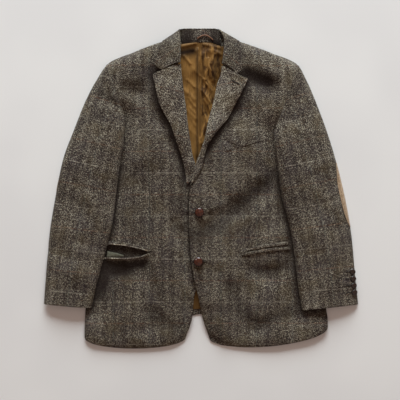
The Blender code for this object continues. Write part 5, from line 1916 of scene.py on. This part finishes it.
def plait(a, b):
    """Basket weave over a square from -1 to 1: strap height from 0 to 1."""
    i = (a + 1) / 2 * STRAPS
    j = (b + 1) / 2 * STRAPS
    across_a = np.sqrt(np.clip(1 - (2 * (i % 1) - 1) ** 2, 0, 1))
    across_b = np.sqrt(np.clip(1 - (2 * (j % 1) - 1) ** 2, 0, 1))
    along_a = 0.55 + 0.45 * np.sin(np.pi * (i % 1))
    along_b = 0.55 + 0.45 * np.sin(np.pi * (j % 1))
    last = STRAPS - 1e-6
    over = (np.floor(np.clip(i, 0, last)) + np.floor(np.clip(j, 0, last))) % 2
    return np.where(over > 0.5, across_b * along_a, across_a * along_b)


def button_piece(node, foot, axis, size, finish, turn, steps):
    """A dome on an axis, over a flat foot.

    Its height is h(0.2 + 0.68(1 - r^2)^0.55) and the plait adds up to 0.12 h, less at
    the rim.
    """
    diameter, height = size
    t = np.linspace(-1, 1, steps)
    a, b = np.meshgrid(t, t, indexing="ij")
    px = a * np.sqrt(1 - b * b / 2)
    py = b * np.sqrt(1 - a * a / 2)
    r = np.minimum(np.hypot(px, py), 1.0)
    relief = plait(a, b)
    rim = smooth((1 - r) / 0.14)
    level = height * (0.20 + 0.68 * (1 - r ** 2) ** 0.55)
    level = level + 0.12 * height * relief * (0.35 + 0.65 * rim)
    axis = unit(np.asarray(axis, float))
    side = unit(np.cross((0.0, 1.0, 0.0), axis))
    other = np.cross(axis, side)
    qx, qy = (part * diameter / 2 for part in spun(px, py, turn))
    flat = qx[..., None] * side + qy[..., None] * other
    outer = flat + level[..., None] * axis + foot
    inner = DISH * flat + foot + 0 * level[..., None]
    # painted shade: darker in the plait's grooves and round the dome's rim
    groove_and_rim_shade = np.maximum(np.clip(1 - 1.5 * relief, 0, 1) * 0.8, 0.85 * smooth((r - 0.66) / 0.3))
    marks = with_marks(np.stack((qx, qy), 2) * MM, groove_and_rim_shade)
    wall_piece(node + "_plait", outer, inner, marks, finish, bulges=(0.15,) * 4)


# %% Finding the cloth under a button
ABOVE_ALL = 0.2  # metres: rays start here


def face_height(piece, places):
    """Heights in mm of a piece's upper face at a few (x, y) places: rays cast down."""
    heights = []
    for x, y in places:
        start = ((x + PLACE[0]) * MM, (y + PLACE[1]) * MM, ABOVE_ALL)
        hit, place, _, _ = piece.ray_cast(start, (0, 0, -1))
        heights.append(place[2] / MM if hit else 0.0)
    return np.array(heights)


# %% Front buttons and cuff buttons
FRONT_BUTTONS = (("upper", -4.0, -57.5, 18), ("lower", -6.5, -175.0, 64))  # x, y, turn
BUTTON = (23.0, 6.4)  # diameter and height
CUFF_BUTTON = (15.0, 3.9)
CUFF_BUTTONS_LEFT = ((363, -200), (364.6, -216.5), (366.2, -233), (367.8, -249.5))
CUFF_BUTTONS_RIGHT = ((-355, -200), (-356.5, -217), (-358, -234), (-359.5, -251))
RIGHT_FOOT = 4.2  # height at which the right cuff's buttons hang, face down
CUFF_TURN = 20  # degrees from one cuff button's plait to the next
LEAN = 0.4  # a button leans this share of the cloth's slope
BUTTON_STEPS = 61  # rows and columns of a front button
CUFF_BUTTON_STEPS = 37

bpy.context.view_layer.update()
around = np.linspace(0, 2 * np.pi, 12, endpoint=False)
ring = np.stack((np.cos(around), np.sin(around)), 1)
for name, x, y, turn in FRONT_BUTTONS:
    seat_x, seat_y = (ring * 9 + (x, y)).T
    foot = front_height("left", seat_x, seat_y).max() + SEAM_GAP
    button_piece(f"front_button_{name}", (x, y, foot), (0, 0, 1), BUTTON, BUTTON_LEATHER,
                 turn, BUTTON_STEPS)
for number, (x, y) in enumerate(CUFF_BUTTONS_LEFT, start=1):
    reach = CUFF_BUTTON[0] * 0.38
    inside, outside = face_height(sleeves["left"][0], ((x - reach, y), (x + reach, y)))
    slope = LEAN * ((outside - inside) / (2 * reach))
    axis = np.array((-slope, 0.0, 1.0)) / math.hypot(slope, 1.0)
    centre = np.array((x, y, (inside + outside) / 2))
    under = ring * reach + (x, y)
    standing = np.column_stack((under, face_height(sleeves["left"][0], under))) - centre
    foot = centre + axis * ((standing @ axis).max() + 0.1)
    button_piece(f"cuff_button_left_{number}", foot, axis, CUFF_BUTTON, CUFF_LEATHER,
                 CUFF_TURN * number, CUFF_BUTTON_STEPS)
for number, (x, y) in enumerate(CUFF_BUTTONS_RIGHT, start=1):
    button_piece(f"cuff_button_right_{number}", (x, y, RIGHT_FOOT), (0, 0, -1), CUFF_BUTTON,
                 CUFF_LEATHER, CUFF_TURN * number, CUFF_BUTTON_STEPS)

# %% [markdown]
# ## Buttonholes and stitches
# A buttonhole is a slit bound with thread. The lapel has one, the lower front
# button's shows beside it with its round eye, and each cuff button has its own.
# They are thin cords swept along a line, so they catch the light as thread does.

# %% Cords of thread
CORD_SIDES = 6
BLUNT = 0.12  # radians of a taper's half turn cut off at each end


def cord_piece(name, paths, radius, finish):
    """Tubes along several open lines, as one mesh: radius x sine^0.3 of the way along."""
    all_points = []
    all_faces = []
    count = 0
    turn = np.linspace(0, 2 * np.pi, CORD_SIDES, endpoint=False)[None, :, None]
    for path in paths:
        path = np.asarray(path, float)
        along = unit(np.gradient(path, axis=0))
        side = unit(np.cross(along, (0.0, 0.0, 1.0)))
        up = np.cross(side, along)
        taper = np.sin(np.linspace(BLUNT, np.pi - BLUNT, len(path))) ** 0.3
        around_it = np.cos(turn) * side[:, None] + np.sin(turn) * up[:, None]
        points = path[:, None] + around_it * (radius * taper)[:, None, None]
        index = np.arange(points[..., 0].size).reshape(len(path), CORD_SIDES) + count
        following = np.roll(index, -1, axis=1)
        faces = np.stack((index[:-1], following[:-1], following[1:], index[1:]), -1).reshape(-1, 4)
        # each end is closed by two quads across the six-sided section
        ends = [index[0, [0, 1, 2, 3]], index[0, [3, 4, 5, 0]],
                index[-1, [3, 2, 1, 0]], index[-1, [0, 5, 4, 3]]]
        all_points.append(points.reshape(-1, 3))
        all_faces.append(np.concatenate((faces, ends)))
        count += index.size
    points = np.concatenate(all_points)
    return put_in_scene(name, points, np.concatenate(all_faces), points[:, :2] * MM, finish, [])


def slit_paths(start, end, half_width, eye=0.0):
    """The two bound edges of a buttonhole in plan, round its eye at the end."""
    start = np.asarray(start, float)
    end = np.asarray(end, float)
    long = np.linalg.norm(end - start)
    along = (end - start) / long
    side = np.array((-along[1], along[0]))
    t = np.linspace(0, 1, 40)
    width = np.full_like(t, half_width)
    if eye:
        width = width + (eye - half_width) * np.exp(-((t - 1 + eye / long) * long / eye) ** 2)
    closing = smooth((1 - t) * long / max(eye, half_width)) ** 0.5
    offset = (width * closing)[:, None] * side
    line = start + (end - start) * t[:, None]
    return [line + offset, line - offset]


def on_face(path, height, lift):
    """Plan path in mm raised to a height function."""
    return np.column_stack((path, height(path[:, 0], path[:, 1]) + lift))


# %% Where the buttonholes are
# start, end, half width, radius of the eye
FRONT_HOLES = (
    ((-22.0, -174.0), (12.0, -173.2), 0.7, 2.4),
    ((-20.0, -57.5), (7.0, -57.5), 0.7, 2.4),
)
LAPEL_HOLES = (((72.7, 256.1), (90.7, 247.7), 0.9),)
CUFF_HOLES = tuple(((x - 19.0, y + 0.8), (x - 6.0, y), 0.5) for x, y in CUFF_BUTTONS_LEFT)
STITCH = (4.2, 2.8)  # from one stitch to the next, and a stitch's length
STITCH_COLUMN = -4  # column of the left patch inside its visible edge


def sleeve_height(x, y):
    return face_height(sleeves["left"][0], np.stack((x, y), 1))


def lapel_height(x, y):
    return face_height(lapels["left"], np.stack((x, y), 1))


def left_front(x, y):
    return front_height("left", x, y)


def holes(table, height, lift):
    """The bound edges of a table's buttonholes, on the cloth."""
    return [on_face(path, height, lift) for row in table for path in slit_paths(*row)]


bpy.context.view_layer.update()
cord_piece("front_buttonholes", holes(FRONT_HOLES, left_front, 0.35), 0.95, DARK_THREAD)
# the pocket's lips use the much paler copy of the tweed: a painted highlight along them
cord_piece("pocket_lips_right", lip_paths(), 1.2, TWEED_LIP_LIT)
cord_piece("lapel_buttonhole", holes(LAPEL_HOLES, lapel_height, 0.2), 1.0, DARK_THREAD)
cord_piece("cuff_buttonholes", holes(CUFF_HOLES, sleeve_height, 0.2), 0.55, DARK_THREAD)

# stitches inside the left patch's visible edge: one short cord for each
inside_ends = slice(4, -4)
edge_line = (patch_left_face + 0.25 * patch_left_normal)[inside_ends, STITCH_COLUMN]
run = lengths_along(edge_line[:, None], 0)[:, 0]
stitches = []
for begin in np.arange(2.0, run[-1] - 3.0, STITCH[0]):
    at = np.linspace(begin, begin + STITCH[1], 6)
    stitches.append(np.stack([np.interp(at, run, part) for part in edge_line.T], 1))
cord_piece("elbow_patch_left_stitches", stitches, 0.4, SUEDE_THREAD)
print("stitches:", len(stitches), " buttonholes:", len(FRONT_HOLES + LAPEL_HOLES + CUFF_HOLES))

# %% [markdown]
# ## Floor, light and camera
# The jacket is seen from straight above, with its collar at the top. The light
# is one large soft window, low beyond the collar, and a pale room all round,
# which gives the long soft shadows that cloth on a table has.

# %% Floor
HALF_FLOOR = 3.0  # metres
FLOOR_LEVEL = -0.0002
floor_mesh = bpy.data.meshes.new("floor")
square = ((-1, -1), (1, -1), (1, 1), (-1, 1))
corners = [(x * HALF_FLOOR, y * HALF_FLOOR, FLOOR_LEVEL) for x, y in square]
floor_mesh.from_pydata(corners, [], [(0, 1, 2, 3)])
floor = bpy.data.objects.new("floor", floor_mesh)
bpy.context.scene.collection.objects.link(floor)
paint = Finish("pale_floor")
tone = paint.noise(paint.node("ShaderNodeTexCoord", "Object"), 3.0, 2.0, 0.5)
color = paint.mix(paint.step(tone, 0.35, 0.65), (0.70, 0.685, 0.675, 1), (0.74, 0.725, 0.71, 1))
floor_mesh.materials.append(paint.finish(color, 0.9, Specular_IOR_Level=0.1))

# %% Light and camera
# name, place, size, power, colour; each looks at the origin
LAMPS = (
    ("window", (0.2, 6.6, 2.2), (5.0, 2.8), 1125.0, (0.872, 0.966, 1.0)),
    ("room", (1.8, -3.4, 5.0), (5.0, 4.0), 30.0, (1.0, 0.86, 0.76)),
)
WORLD_COLOR = (1.0, 0.76, 0.66, 1.0)
WORLD_STRENGTH = 0.30


def area_light(name, place, size, power, color):
    """A rectangle of light that looks at the origin: tilted down, then turned round."""
    data = bpy.data.lights.new(name, "AREA")
    data.shape = "RECTANGLE"
    data.size, data.size_y = size
    data.energy = power
    data.color = color
    lamp = bpy.data.objects.new(name, data)
    lamp.location = place
    x, y, z = place
    tilt = math.pi / 2 - math.atan2(z, math.hypot(x, y))
    lamp.rotation_euler = (tilt, 0.0, math.atan2(x, -y))
    bpy.context.scene.collection.objects.link(lamp)


for lamp_row in LAMPS:
    area_light(*lamp_row)
world = bpy.data.worlds.new("room")
world.use_nodes = True
background = world.node_tree.nodes["Background"].inputs
background["Color"].default_value = WORLD_COLOR
background["Strength"].default_value = WORLD_STRENGTH
bpy.context.scene.world = world
bpy.context.scene.view_settings.view_transform = "Standard"

SENSOR = 36.0  # mm
CAMERA_HEIGHT = 1.81  # metres
CLOTH_HEIGHT = 0.010  # where the view is as wide as it says below
VIEW_WIDTH = 0.960
lens = bpy.data.cameras.new("above")
lens.sensor_width = SENSOR
lens.lens = SENSOR * (CAMERA_HEIGHT - CLOTH_HEIGHT) / VIEW_WIDTH
camera = bpy.data.objects.new("above", lens)
camera.location = (-0.0029, -0.0279, CAMERA_HEIGHT)
bpy.context.scene.collection.objects.link(camera)
bpy.context.scene.camera = camera
